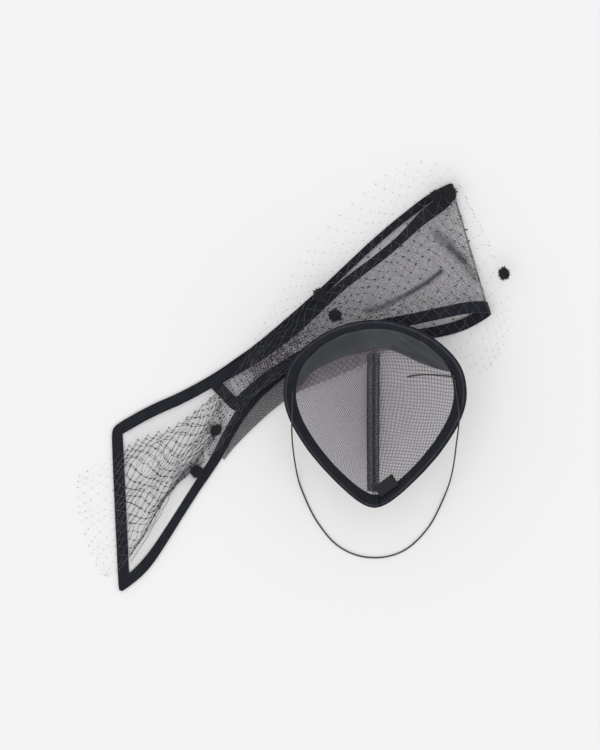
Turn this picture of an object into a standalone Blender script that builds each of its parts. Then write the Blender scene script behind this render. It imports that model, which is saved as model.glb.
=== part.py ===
# Bow headpiece lying on a table: a bound mesh bow with a net veil, and a small cap, hollow up.
# Metres, +Z up, +X to the right and +Y away, seen from above. The table's top is at Z = 0.
import math

import bmesh
import bpy
from mathutils import Matrix, Vector
from mathutils.bvhtree import BVHTree

CLEARANCE = 0.0003  # between pieces that touch

# Bow
BOW_WIDE = 0.323  # along X, without the veil
BOW_LONG = 0.3464  # along Y, without the veil
MIDDLE_X = 0.4842  # where the headpiece's middle lies, as shares of the two sizes above
MIDDLE_Y = 0.5362
MESH_THICK = 0.001
BINDING_WIDE = 0.0098
BINDING_THICK = 0.002
LOOP_RISE = 0.018  # how far the front layer arches up above the waist
FOLD_RISE_TOP = 0.0052  # height of the fold at the loop's upper corner
FOLD_RISE_LOW = 0.0135  # and at its lower corner
CORNER_ROUND = 0.0075  # radius of the binding's outer corners
ROLL_WIDE = 0.017  # the rolled margin at its widest
ROLL_START = 0.05  # the narrowest that it is made, as a share of that
ROLL_HIGH = 0.0024  # between its two leaves, middle to middle

# Veil
NET_THICK = 0.001
NET_STRAND = 0.0026
DRAPE_SLOPE = 0.75  # the steepest that the net falls
DRAPE_REACH = 0.019  # how far past a high place the net stays up
DRAPE_STEP = 0.0045  # spacing of the places where the height below the net is read
SETTLE_STEP = 0.002  # spacing of the places where the cap is tried against what lies under it
DOT_WIDE = 0.0105
DOT_HIGH = 0.0068

# Cap
CAP_WIDE = 0.1540
CAP_LONG = 0.1585
CAP_DEEP = 0.040
CAP_X = 0.6938  # place of the rim's top, as shares of the bow's sizes
CAP_Y = 0.663
CAP_TURN = -0.3  # degrees
CROWN_AT = 0.40  # the deepest place, as a share of the cap's length from the rim's top
BOWL_POWER = 2.2
CAP_BINDING_WIDE = 0.0142
CAP_BINDING_THICK = 0.0024
LINING_ROOM = 0.0006  # between the bowl's wall and what lines it
BAND_THICK = 0.001
TAPE_WIDE = 0.0107
TAPE_THICK = 0.001
TAPE_START = 0.175  # ends of the tape, as shares of the cap's length
TAPE_END = 0.915
TAPE_OFF = -0.0010  # how far off the seam the tape's middle lies
LABEL_LONG = 0.020
LABEL_WIDE = 0.0105
LABEL_THICK = 0.001
LABEL_X = 0.0108  # middle of the label, from the cap's axis
LABEL_AT = 0.891  # and as a share of the cap's length
LABEL_TURN = 35.0

# Elastic
CORD_WIDE = 0.0013
KNOT_WIDE = 0.0034

# The ribbon from the tail's end to the waist and on to the loop's fold, lying on the table.
# top and low are the two edges, as shares of BOW_WIDE and BOW_LONG from the bow's lower left corner,
# roll is how far the rolled margin reaches past the lower edge, as a share of ROLL_WIDE,
# and band is how much of BINDING_WIDE shows along the top edge, where the band turns under.
BACK_ROWS = [
    # top x, top y, low x, low y, roll, band
    (0.000, 0.401, 0.020, -0.008, 0.00, 1.00),
    (0.058, 0.433, 0.084, 0.037, 0.00, 1.00),
    (0.116, 0.461, 0.132, 0.096, 0.00, 1.00),
    (0.171, 0.483, 0.187, 0.179, 0.00, 1.00),
    (0.226, 0.510, 0.242, 0.258, 0.00, 1.00),
    (0.276, 0.537, 0.292, 0.326, 0.12, 1.00),
    (0.324, 0.568, 0.337, 0.405, 0.60, 1.00),
    (0.374, 0.601, 0.397, 0.476, 0.88, 1.00),
    (0.429, 0.643, 0.471, 0.533, 1.00, 0.95),
    (0.492, 0.694, 0.555, 0.564, 1.00, 0.78),
    (0.563, 0.753, 0.645, 0.584, 0.70, 0.64),
    (0.634, 0.816, 0.734, 0.601, 0.15, 0.62),
    (0.703, 0.875, 0.816, 0.615, 0.00, 0.63),
    (0.774, 0.930, 0.887, 0.627, 0.00, 0.66),
    (0.839, 0.976, 0.939, 0.643, 0.00, 0.86),
    (0.889, 0.999, 0.979, 0.664, 0.00, 1.00),
]
# The front layer from the fold back to the waist, with its arch as shares of LOOP_RISE.
FRONT_ROWS = [
    # top x, top y, low x, low y, top rise, low rise, band
    (0.892, 0.983, 0.974, 0.683, 0.10, 0.48, 1.00),
    (0.858, 0.952, 0.934, 0.680, 0.34, 0.76, 0.90),
    (0.800, 0.910, 0.858, 0.665, 0.60, 0.95, 0.80),
    (0.742, 0.859, 0.784, 0.650, 0.76, 1.02, 0.78),
    (0.676, 0.810, 0.713, 0.638, 0.82, 1.02, 0.78),
    (0.605, 0.761, 0.634, 0.618, 0.80, 0.96, 0.80),
    (0.537, 0.704, 0.563, 0.591, 0.66, 0.80, 0.86),
    (0.471, 0.650, 0.495, 0.557, 0.44, 0.56, 0.95),
    (0.403, 0.604, 0.426, 0.515, 0.22, 0.30, 1.00),
    (0.339, 0.567, 0.374, 0.476, 0.06, 0.09, 1.00),
    (0.245, 0.517, 0.329, 0.434, 0.00, 0.00, 1.00),
]
# The veil's upper edge, middle and lower edge, in the same shares, from the tail to the loop.
VEIL_ROWS = [
    # top x, top y, middle x, middle y, low x, low y
    (-0.076, 0.299, -0.082, 0.187, -0.018, 0.022),
    (0.003, 0.331, -0.008, 0.174, 0.024, 0.039),
    (0.079, 0.379, 0.071, 0.243, 0.079, 0.123),
    (0.176, 0.417, 0.166, 0.321, 0.161, 0.248),
    (0.263, 0.476, 0.271, 0.427, 0.282, 0.387),
    (0.329, 0.537, 0.347, 0.501, 0.371, 0.471),
    (0.384, 0.623, 0.418, 0.562, 0.445, 0.525),
    (0.461, 0.741, 0.497, 0.628, 0.529, 0.567),
    (0.547, 0.861, 0.608, 0.702, 0.634, 0.609),
    (0.679, 0.984, 0.739, 0.775, 0.766, 0.633),
    (0.779, 1.055, 0.861, 0.807, 0.887, 0.587),
    (0.884, 1.043, 0.966, 0.807, 0.971, 0.533),
    (0.916, 0.979, 1.039, 0.739, 1.008, 0.562),
]
BACK_COUNT = 31  # rows of the mesh in the tail and the loop's back layer
FOLD_COUNT = 6  # steps round the fold
FRONT_COUNT = 21  # rows in the front layer
MESH_COLUMNS = 7
CORNER_ROWS = 2  # rows at each end that the rounded corners take the place of
NET_ALONG = 26  # half diamonds along the veil
NET_ACROSS = 8  # half diamonds across it
# The soft dots, in the same shares.
DOTS = [
    # x, y
    (0.550, 0.726),
    (0.589, 0.675),
    (0.855, 0.969),
    (0.889, 0.977),
    (1.032, 0.778),
    (0.276, 0.395),
    (0.226, 0.293),
]
# Half of the cap's rim from its top to its point, as shares of its length and half its width,
# and how much of CAP_BINDING_WIDE the binding has there.
RIM_ROWS = [
    # along, half width, binding
    (0.000, 0.000, 0.74),
    (0.006, 0.160, 0.74),
    (0.021, 0.310, 0.75),
    (0.059, 0.510, 0.78),
    (0.118, 0.700, 0.84),
    (0.204, 0.885, 0.93),
    (0.290, 0.975, 1.00),
    (0.386, 1.000, 1.00),
    (0.456, 0.984, 1.00),
    (0.520, 0.938, 1.00),
    (0.585, 0.870, 1.00),
    (0.649, 0.786, 1.00),
    (0.714, 0.688, 1.00),
    (0.778, 0.575, 1.00),
    (0.842, 0.449, 1.00),
    (0.907, 0.308, 1.00),
    (0.955, 0.190, 1.00),
    (0.987, 0.092, 1.00),
    (1.000, 0.000, 1.00),
]
# The satin band's lower edge from left to right: across as a share of half the cap's width,
# and along as a share of its length.
BAND_ROWS = [
    # across, along
    (-0.830, 0.350),
    (-0.690, 0.268),
    (-0.520, 0.225),
    (-0.330, 0.182),
    (-0.070, 0.155),
    (0.090, 0.140),
    (0.300, 0.172),
    (0.470, 0.212),
    (0.640, 0.243),
    (0.775, 0.262),
]
# The elastic's route from the rim's left side, down to the table, round and up to the knot.
ELASTIC_ROUTE = [
    # x, y, z
    (-0.0025, -0.0157, 0.0397),
    (-0.0025, -0.0250, 0.0403),
    (-0.0025, -0.0340, 0.0434),
    (-0.0026, -0.0420, 0.0457),
    (-0.0026, -0.0505, 0.0420),
    (-0.0021, -0.0599, 0.0300),
    (-0.0011, -0.0690, 0.0195),
    (0.0001, -0.0770, 0.0108),
    (0.0019, -0.0870, 0.0045),
    (0.0047, -0.0970, 0.0014),
    (0.0104, -0.1110, 0.0009),
    (0.0160, -0.1222, 0.0008),
    (0.0226, -0.1323, 0.0008),
    (0.0315, -0.1430, 0.0008),
    (0.0420, -0.1508, 0.0008),
    (0.0540, -0.1557, 0.0008),
    (0.0665, -0.1574, 0.0008),
    (0.0790, -0.1563, 0.0008),
    (0.0905, -0.1524, 0.0008),
    (0.1000, -0.1461, 0.0008),
    (0.1085, -0.1376, 0.0008),
    (0.1153, -0.1288, 0.0008),
    (0.1202, -0.1200, 0.0009),
    (0.1247, -0.1105, 0.0014),
    (0.1293, -0.0990, 0.0045),
    (0.1322, -0.0890, 0.0108),
    (0.1340, -0.0790, 0.0195),
    (0.1351, -0.0690, 0.0300),
    (0.1360, -0.0590, 0.0395),
    (0.1373, -0.0480, 0.0446),
    (0.1379, -0.0380, 0.0453),
    (0.1374, -0.0270, 0.0416),
    (0.1361, -0.0180, 0.0390),
    (0.1350, -0.0105, 0.0383),
    (0.1345, -0.0060, 0.0386),
]
# The elastic's free end, from the knot down the cap's inner wall.
TAIL_ROUTE = [
    # x, y, z
    (0.1322, -0.0036, 0.0364),
    (0.1280, -0.0030, 0.0319),
    (0.1238, -0.0025, 0.0284),
    (0.1190, -0.0021, 0.0250),
    (0.1143, -0.0019, 0.0218),
    (0.1095, -0.0019, 0.0190),
    (0.1047, -0.0022, 0.0163),
    (0.1000, -0.0028, 0.0140),
    (0.0953, -0.0036, 0.0121),
]
KNOT_PLACE = (0.1330, -0.0037, 0.0389)

COLORS = {
    # name: red, green, blue, roughness
    "velvet": (0.012, 0.013, 0.017, 0.95),
    "mesh": (0.035, 0.033, 0.038, 0.55),
    "net": (0.030, 0.030, 0.034, 0.60),
    "chenille": (0.022, 0.022, 0.026, 0.95),
    "satin": (0.045, 0.048, 0.056, 0.38),
    "tape": (0.020, 0.020, 0.024, 0.70),
    "elastic": (0.030, 0.027, 0.028, 0.60),
}


def material(name):
    """The Principled material of one kind of cloth, made once."""
    if name in bpy.data.materials:
        return bpy.data.materials[name]
    red, green, blue, roughness = COLORS[name]
    mat = bpy.data.materials.new(name)
    mat.use_nodes = True
    shader = mat.node_tree.nodes["Principled BSDF"]
    shader.inputs["Base Color"].default_value = (red, green, blue, 1.0)
    shader.inputs["Roughness"].default_value = roughness
    shader.inputs["Metallic"].default_value = 0.0
    return mat


def add_object(name, bm, mat_name, smooth_angle=math.radians(35)):
    """Turns a bmesh into a named object with outward faces and its own material."""
    bmesh.ops.triangulate(bm, faces=bm.faces[:])
    bmesh.ops.recalc_face_normals(bm, faces=bm.faces[:])
    mesh = bpy.data.meshes.new(name)
    bm.to_mesh(mesh)
    bm.free()
    mesh.shade_smooth()
    mesh.set_sharp_from_angle(angle=smooth_angle)
    mesh.materials.append(material(mat_name))
    obj = bpy.data.objects.new(name, mesh)
    bpy.context.collection.objects.link(obj)
    return obj


def curve_at(rows, place):
    """A smooth curve through the rows, read at a place counted in rows."""
    last = len(rows) - 1
    place = min(max(place, 0.0), float(last))
    i = min(int(place), last - 1)
    t = place - i
    before = rows[max(i - 1, 0)]
    start = rows[i]
    end = rows[i + 1]
    after = rows[min(i + 2, last)]
    return tuple(
        0.5
        * (
            2 * b
            + (c - a) * t
            + (2 * a - 5 * b + 4 * c - d) * t * t
            + (3 * b - a - 3 * c + d) * t * t * t
        )
        for a, b, c, d in zip(before, start, end, after)
    )


def resampled(rows, count):
    """The same smooth curve as a list of evenly spaced places."""
    last = len(rows) - 1
    return [curve_at(rows, last * k / (count - 1)) for k in range(count)]


def bow_point(x_share, y_share, z=0.0):
    """A place over the table from shares of the bow's width and length."""
    return Vector(((x_share - MIDDLE_X) * BOW_WIDE, (y_share - MIDDLE_Y) * BOW_LONG, z))


def grid_normals(grid, closed):
    """The unit normal at each point of a grid, rows by columns."""
    count = len(grid)
    normals = []
    for r, row in enumerate(grid):
        before = grid[(r - 1) % count] if closed or r > 0 else row
        after = grid[(r + 1) % count] if closed or r < count - 1 else row
        line = []
        for c in range(len(row)):
            along = after[c] - before[c]
            across = row[min(c + 1, len(row) - 1)] - row[max(c - 1, 0)]
            line.append(along.cross(across).normalized())
        normals.append(line)
    return normals


def sheet(name, grid, thick, mat_name, closed=False):
    """A solid cloth wall round a grid of middle points. A closed one joins its last row to its first."""
    normals = grid_normals(grid, closed)
    bm = bmesh.new()
    front = []
    back = []
    for row, row_normals in zip(grid, normals):
        front.append([bm.verts.new(p + n * thick / 2) for p, n in zip(row, row_normals)])
        back.append([bm.verts.new(p - n * thick / 2) for p, n in zip(row, row_normals)])
    rows = len(grid)
    columns = len(grid[0])
    for r in range(rows if closed else rows - 1):
        s = (r + 1) % rows
        for c in range(columns - 1):
            bm.faces.new((front[r][c], front[s][c], front[s][c + 1], front[r][c + 1]))
            bm.faces.new((back[r][c], back[r][c + 1], back[s][c + 1], back[s][c]))
        for c in (0, columns - 1):
            bm.faces.new((front[r][c], back[r][c], back[s][c], front[s][c]))
    if not closed:
        for r in (0, rows - 1):
            for c in range(columns - 1):
                bm.faces.new((front[r][c], front[r][c + 1], back[r][c + 1], back[r][c]))
    return add_object(name, bm, mat_name)


# The ribbon of the bow


def fold_rows(back, front, count):
    """Places round the loop's fold, from the last back row to the first front row."""
    rows = []
    for k in range(1, count):
        t = k / count
        pair = []
        for edge in (0, 1):
            start = back[-1][edge]
            end = front[0][edge]
            rise = end.z - start.z
            out = (start - back[-2][edge]).normalized() * rise * 0.72
            home = (end - front[1][edge]).normalized() * rise * 0.72
            home.z = 0.0
            a = (1 - t) ** 3
            b = 3 * t * (1 - t) ** 2
            c = 3 * t * t * (1 - t)
            d = t**3
            pair.append(start * a + (start + out) * b + (end + home) * c + end * d)
        rows.append((*pair, 1.0))
    return rows


def ribbon_edges():
    """The ribbon's two edges, row by row from the tail's end to the front layer's end.

    A row is its top point, its low point, how squarely the binding crosses its edges there and
    how much of the binding's width shows along its top edge.
    """
    lie = BINDING_THICK / 2
    over = BINDING_THICK * 1.5 + CLEARANCE
    back = [
        (bow_point(tx, ty, lie), bow_point(lx, ly, lie), band)
        for tx, ty, lx, ly, roll, band in resampled(BACK_ROWS, BACK_COUNT)
    ]
    front = []
    for tx, ty, lx, ly, top_rise, low_rise, band in resampled(FRONT_ROWS, FRONT_COUNT):
        top = bow_point(tx, ty, over + max(top_rise, 0.0) * LOOP_RISE)
        low = bow_point(lx, ly, over + max(low_rise, 0.0) * LOOP_RISE)
        front.append((top, low, band))
    front[0][0].z = lie + FOLD_RISE_TOP
    front[0][1].z = lie + FOLD_RISE_LOW
    rows = back + fold_rows(back, front, FOLD_COUNT) + front
    fold_start = BACK_COUNT - 1
    fold_end = BACK_COUNT + FOLD_COUNT - 1
    out = []
    for i, (top, low, band) in enumerate(rows):
        away = max(fold_start - i, i - fold_end, 0)
        out.append((top, low, min(away / 3.0, 1.0), min(band, 1.0)))
    return out


def inward(edges, i, edge):
    """The direction on the cloth from one edge towards the other, square to it away from the fold."""
    before = edges[max(i - 1, 0)][edge]
    after = edges[min(i + 1, len(edges) - 1)][edge]
    along = (after - before).normalized()
    across = edges[i][1 - edge] - edges[i][edge]
    return (across - along * across.dot(along) * edges[i][2]).normalized()


def corner_in(corner, first, second, width):
    """The inner corner of a band that turns at a corner, from the inward directions of its two sides."""
    return corner + (first + second) * width / (1.0 + first.dot(second))


def rounded_corner(before, corner, after, radius, count=4):
    """A few points that round a corner off, at that distance along both sides."""
    start = corner + (before - corner).normalized() * radius
    end = corner + (after - corner).normalized() * radius
    return [
        start * (1 - t) ** 2 + corner * 2 * t * (1 - t) + end * t * t
        for t in [k / (count - 1) for k in range(count)]
    ]


def bow_ring(edges, width):
    """The binding's outer and inner edge all round the ribbon, as pairs of points."""
    last = len(edges) - 1
    inner = []
    for i, row in enumerate(edges):
        top = row[0] + inward(edges, i, 0) * width * row[3]
        inner.append((top, row[1] + inward(edges, i, 1) * width))
    corners = {}
    for i in (0, last):
        end_in = end_inward(edges, i)
        for k in (0, 1):
            corners[i, k] = corner_in(edges[i][k], inward(edges, i, k), end_in, width)
    ring = []

    def turn(i, k, before, after, inner_before, inner_after):
        outer_points = rounded_corner(before, edges[i][k], after, CORNER_ROUND)
        inner_points = rounded_corner(inner_before, corners[i, k], inner_after, CLEARANCE)
        ring.extend(zip(outer_points, inner_points))

    def straight(i, start, end):
        for t in (0.25, 0.5, 0.75):
            outer_point = edges[i][start].lerp(edges[i][end], t)
            ring.append((outer_point, corners[i, start].lerp(corners[i, end], t)))

    near = CORNER_ROWS
    far = last - CORNER_ROWS
    turn(0, 0, edges[0][1], edges[1][0], corners[0, 1], inner[near][0])
    ring += [(edges[i][0], inner[i][0]) for i in range(near, far + 1)]
    turn(last, 0, edges[last - 1][0], edges[last][1], inner[far][0], corners[last, 1])
    straight(last, 0, 1)
    turn(last, 1, edges[last][0], edges[last - 1][1], corners[last, 0], inner[far][1])
    ring += [(edges[i][1], inner[i][1]) for i in range(far, near - 1, -1)]
    turn(0, 1, edges[1][1], edges[0][0], inner[near][1], corners[0, 0])
    straight(0, 1, 0)
    return ring


def bow_binding(edges):
    """The velvet band round the whole ribbon."""
    grid = [list(pair) for pair in bow_ring(edges, BINDING_WIDE)]
    return sheet("bow_binding", grid, BINDING_THICK, "velvet", closed=True)


def bow_mesh(edges):
    """The see-through cloth inside the binding, from the tail round the loop."""
    inset = BINDING_WIDE + CLEARANCE
    grid = []
    for i, row in enumerate(edges):
        top = row[0] + inward(edges, i, 0) * (BINDING_WIDE * row[3] + CLEARANCE)
        low = row[1] + inward(edges, i, 1) * inset
        grid.append([top.lerp(low, c / (MESH_COLUMNS - 1)) for c in range(MESH_COLUMNS)])
    grid = trimmed_end(grid, edges[0][0], end_inward(edges, 0), inset)
    grid = trimmed_end(grid[::-1], edges[-1][0], end_inward(edges, len(edges) - 1), inset)[::-1]
    return sheet("bow_mesh", grid, MESH_THICK, "mesh")


def end_inward(edges, i):
    """The direction on the cloth square to an end of the ribbon, pointing into it."""
    beside = 1 if i == 0 else i - 1
    side = (edges[i][1] - edges[i][0]).normalized()
    into = edges[beside][0] + edges[beside][1] - edges[i][0] - edges[i][1]
    return (into - side * into.dot(side)).normalized()


def trimmed_end(grid, corner, into, inset):
    """Cuts the first rows of a grid back to the inner side of the end's band."""
    paths = []
    for c in range(len(grid[0])):
        r = next(r for r in range(1, len(grid)) if (grid[r][c] - corner).dot(into) > inset)
        a = grid[r - 1][c]
        b = grid[r][c]
        done = (inset - (a - corner).dot(into)) / (b - a).dot(into)
        paths.append((r, a.lerp(b, max(done, 0.0))))
    first = max(r for r, start in paths) + 1
    columns = []
    for c, (r, start) in enumerate(paths):
        path = [start] + [grid[k][c] for k in range(r, first + 1)]
        columns.append(evenly_spaced(path, first))
    return [[column[k] for column in columns] for k in range(first - 1)] + grid[first:]


def evenly_spaced(path, count):
    """Points at equal distances along a path, both ends among them."""
    lengths = [0.0]
    for a, b in zip(path, path[1:]):
        lengths.append(lengths[-1] + (b - a).length)
    out = []
    k = 0
    for i in range(count):
        want = lengths[-1] * i / (count - 1)
        while k < len(path) - 2 and lengths[k + 1] < want:
            k += 1
        span = lengths[k + 1] - lengths[k]
        t = (want - lengths[k]) / span if span > 0 else 0.0
        out.append(path[k].lerp(path[k + 1], min(max(t, 0.0), 1.0)))
    return out


def rolled_margin():
    """The lower margin of the waist, rolled over: two leaves joined by a fold."""
    rows = [row for row in resampled(BACK_ROWS, 46) if row[4] > ROLL_START]
    pairs = [(bow_point(row[0], row[1]), bow_point(row[2], row[3]), 1.0) for row in rows]
    half = ROLL_HIGH / 2
    middle_z = MESH_THICK / 2 + half
    grid = []
    for i, row in enumerate(rows):
        out = -inward(pairs, i, 1)
        reach = max(row[4] * ROLL_WIDE - half - MESH_THICK / 2, half)
        start = pairs[i][1] + out * CLEARANCE
        line = []
        for share in (0.0, 0.5, 1.0):
            line.append(start + out * reach * share + Vector((0, 0, middle_z - half)))
        for angle in (-45, 0, 45):
            swing = math.radians(angle)
            turn = out * half * math.cos(swing) + Vector((0, 0, middle_z + half * math.sin(swing)))
            line.append(start + out * reach + turn)
        for share in (1.0, 0.5, 0.0):
            line.append(start + out * reach * share + Vector((0, 0, middle_z + half)))
        grid.append(line)
    return sheet("rolled_margin", grid, MESH_THICK, "mesh")


# Heights, read from what already lies on the table


def tree_of(objects):
    """One search tree of the surfaces of several objects."""
    points = []
    faces = []
    for obj in objects:
        start = len(points)
        points += [v.co.copy() for v in obj.data.vertices]
        faces += [[start + v for v in p.vertices] for p in obj.data.polygons]
    return BVHTree.FromPolygons(points, faces)


def height_at(tree, x, y):
    """The height of the highest surface at a place, and the table's own where there is none."""
    place = tree.ray_cast(Vector((x, y, 1.0)), Vector((0, 0, -1)))[0]
    return place.z if place else 0.0


def heights_below(objects):
    """High places under the net, as a list of points."""
    tree = tree_of(objects)
    corners = [v.co for obj in objects for v in obj.data.vertices]
    low_x = min(p.x for p in corners)
    low_y = min(p.y for p in corners)
    across = int((max(p.x for p in corners) - low_x) / DRAPE_STEP) + 1
    along = int((max(p.y for p in corners) - low_y) / DRAPE_STEP) + 1
    places = []
    for i in range(across + 1):
        for j in range(along + 1):
            x = low_x + i * DRAPE_STEP
            y = low_y + j * DRAPE_STEP
            z = height_at(tree, x, y)
            if z > 0:
                places.append((x, y, z))
    return places


def drape_height(places, x, y):
    """The height of a net that rests on those places and falls at most at its slope."""
    best = 0.0
    for px, py, pz in places:
        if pz > best:
            away = math.hypot(px - x, py - y)
            best = max(best, pz - DRAPE_SLOPE * max(away - DRAPE_REACH, 0.0))
    return best


def veil(supports):
    """The diamond net, cut through, draped over the bow and down to the table."""
    places = heights_below(supports)
    rows = resampled(VEIL_ROWS, NET_ALONG + 1)
    lift = NET_THICK / 2 + CLEARANCE
    bm = bmesh.new()
    verts = []
    for row in rows:
        top = Vector((row[0], row[1]))
        middle = Vector((row[2], row[3]))
        low = Vector((row[4], row[5]))
        line = []
        for c in range(NET_ACROSS + 1):
            t = c / NET_ACROSS
            share = (
                top * (1 - t) * (1 - 2 * t) + middle * 4 * t * (1 - t) + low * t * (2 * t - 1)
            )
            p = bow_point(share.x, share.y)
            height = drape_height(places, p.x, p.y)
            p.z = height + lift * math.hypot(1.0, DRAPE_SLOPE) if height > 0 else NET_THICK * 0.6
            line.append(bm.verts.new(p))
        verts.append(line)
    for r in range(NET_ALONG + 1):
        for c in range(NET_ACROSS + 1):
            if (r + c) % 2:
                around = []
                for dr, dc in ((-1, 0), (0, -1), (1, 0), (0, 1)):
                    if 0 <= r + dr <= NET_ALONG and 0 <= c + dc <= NET_ACROSS:
                        around.append(verts[r + dr][c + dc])
                    elif verts[r][c] not in around:
                        around.append(verts[r][c])
                if len(around) > 2:
                    bm.faces.new(around)
    loose = [v for v in bm.verts if not v.link_faces]
    bmesh.ops.delete(bm, geom=loose, context="VERTS")
    for face in bm.faces[:]:
        reach = 2 * face.calc_area() / face.calc_perimeter()
        wide = min(NET_STRAND / 2, reach * 0.42)
        if len(face.verts) == 4:
            bmesh.ops.inset_individual(bm, faces=[face], thickness=wide, use_even_offset=True)
            bm.faces.remove(face)
    bmesh.ops.recalc_face_normals(bm, faces=bm.faces[:])
    up = sum(f.normal.z for f in bm.faces)
    if up < 0:
        bmesh.ops.reverse_faces(bm, faces=bm.faces[:])
    obj = thickened("veil", bm, NET_THICK, "net")
    return obj


def thickened(name, bm, thick, mat_name):
    """Gives an open surface a wall, half to each side."""
    bm.normal_update()
    bm.verts.ensure_lookup_table()
    lower = {v: bm.verts.new(v.co - v.normal * thick / 2) for v in bm.verts[:]}
    faces = bm.faces[:]
    edges = [(e, e.link_faces[0]) for e in bm.edges if len(e.link_faces) == 1]
    for e, face in edges:
        for loop in face.loops:
            if loop.edge == e:
                a = loop.vert
                b = loop.link_loop_next.vert
                bm.faces.new((b, a, lower[a], lower[b]))
    for face in faces:
        bm.faces.new([lower[v] for v in reversed(face.verts)])
    for v in lower:
        v.co += v.normal * thick / 2
    return add_object(name, bm, mat_name)


def dot(index, x_share, y_share, supports):
    """One soft dot, a flattened ball that rests on what is under it."""
    place = bow_point(x_share, y_share)
    radius = DOT_WIDE / 2
    half = DOT_HIGH / 2
    tree = tree_of(supports)
    rest = half
    rings = 6
    for r in range(rings + 1):
        share = r / rings
        for k in range(16):
            turn = 2 * math.pi * k / 16
            x = place.x + radius * share * math.cos(turn)
            y = place.y + radius * share * math.sin(turn)
            under = height_at(tree, x, y) + CLEARANCE
            rest = max(rest, under + half * math.sqrt(max(1 - share * share, 0.0)))
    bm = bmesh.new()
    bmesh.ops.create_uvsphere(bm, u_segments=12, v_segments=7, radius=radius)
    bmesh.ops.scale(bm, vec=(1, 1, DOT_HIGH / DOT_WIDE), verts=bm.verts[:])
    bmesh.ops.translate(bm, vec=(place.x, place.y, rest), verts=bm.verts[:])
    return add_object(f"chenille_dot_{index}", bm, "chenille")


# The cap, made in its own frame: the rim's top at the origin, its point along -Y


def rim_row(share):
    """Half the cap's width and the binding's, as shares, at a share of the cap's length."""
    for (a, wide_a, band_a), (b, wide_b, band_b) in zip(RIM_ROWS, RIM_ROWS[1:]):
        if a <= share <= b:
            t = (share - a) / (b - a)
            return wide_a + (wide_b - wide_a) * t, band_a + (band_b - band_a) * t
    return 0.0, 1.0


def half_width(share):
    """Half the cap's width at a share of its length."""
    return CAP_WIDE / 2 * rim_row(share)[0]


def binding_width(place):
    """The binding's width over the wall, at a place on the rim."""
    return CAP_BINDING_WIDE * rim_row(min(max(-place.y / CAP_LONG, 0.0), 1.0))[1]


def bowl_height(x, y):
    """The height of the cap's wall above its crown, at a place in its frame."""
    share = min(max(-y / CAP_LONG, 0.0), 1.0)
    if share < CROWN_AT:
        along = (CROWN_AT - share) / CROWN_AT
    else:
        along = (share - CROWN_AT) / (1 - CROWN_AT)
    wide = half_width(share)
    across = min(abs(x) / wide, 1.0) if wide > 0 else 1.0
    return CAP_DEEP * (1 - (1 - along**BOWL_POWER) * (1 - across**BOWL_POWER))


def on_bowl(x, y, lift=0.0):
    """A point of the bowl's surface, lifted off it along its normal."""
    step = 0.001
    slope_x = (bowl_height(x + step, y) - bowl_height(x - step, y)) / (2 * step)
    slope_y = (bowl_height(x, y + step) - bowl_height(x, y - step)) / (2 * step)
    normal = Vector((-slope_x, -slope_y, 1.0)).normalized()
    return Vector((x, y, bowl_height(x, y))) + normal * lift


def rim_outline(count):
    """The right half of the rim from its top to its point, in plan, evenly spaced."""
    rows = [(wide * CAP_WIDE / 2, -along * CAP_LONG) for along, wide, band in RIM_ROWS]
    out = evenly_spaced([Vector(p) for p in resampled(rows, 200)], count)
    out[0].x = 0.0
    out[-1].x = 0.0
    return out


def walk_in(outline, i, distance):
    """A plan point reached by going in from the rim over the wall's surface."""
    before = outline[i - 1] if i > 0 else Vector((-outline[1].x, outline[1].y))
    after = outline[i + 1] if i < len(outline) - 1 else Vector((-outline[-2].x, outline[-2].y))
    along = (after - before).normalized()
    side = Vector((along.y, -along.x))
    steps = 24
    point = outline[i].copy()
    for k in range(steps):
        ahead = point + side * distance / steps
        rise = bowl_height(point.x, point.y) - bowl_height(ahead.x, ahead.y)
        plan = distance / steps
        slope = rise / plan
        point = point + side * plan / math.hypot(1.0, slope)
    point.x = max(point.x, 0.0)
    return point


def cap_binding(outline):
    """The velvet band round the rim."""
    steps = 3
    grid = []
    count = len(outline)
    for i in list(range(count)) + list(range(count - 2, 0, -1)):
        mirror = -1 if len(grid) >= count else 1
        line = []
        for c in range(steps + 1):
            p = walk_in(outline, i, binding_width(outline[i]) * c / steps) if c else outline[i]
            line.append(on_bowl(mirror * p.x, p.y))
        grid.append(line)
    return sheet("cap_binding", grid, CAP_BINDING_THICK, "velvet", closed=True)


def cap_half(name, outline, side):
    """One mesh half of the cap, from its seam to the binding."""
    columns = 9
    grid = []
    for i in range(len(outline)):
        p = walk_in(outline, i, binding_width(outline[i]) + CLEARANCE)
        if p.x > CLEARANCE * 8:
            line = []
            for c in range(columns):
                x = CLEARANCE / 2 + (p.x - CLEARANCE / 2) * c / (columns - 1)
                line.append(on_bowl(side * x, p.y))
            grid.append(line)
    return sheet(name, grid, MESH_THICK, "mesh")


def over_mesh(thick):
    """How far above the wall's middle a layer of that thickness lies."""
    return MESH_THICK / 2 + LINING_ROOM + thick / 2


def seam_tape():
    """The tape over the seam, inside the cap."""
    rows = 15
    grid = []
    for r in range(rows):
        share = r / (rows - 1)
        y = -CAP_LONG * (TAPE_START + (TAPE_END - TAPE_START) * share)
        line = []
        for c in (-1, -0.33, 0.33, 1):
            line.append(on_bowl(TAPE_OFF + c * TAPE_WIDE / 2, y, over_mesh(TAPE_THICK)))
        grid.append(line)
    return sheet("seam_tape", grid, TAPE_THICK, "tape")


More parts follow.
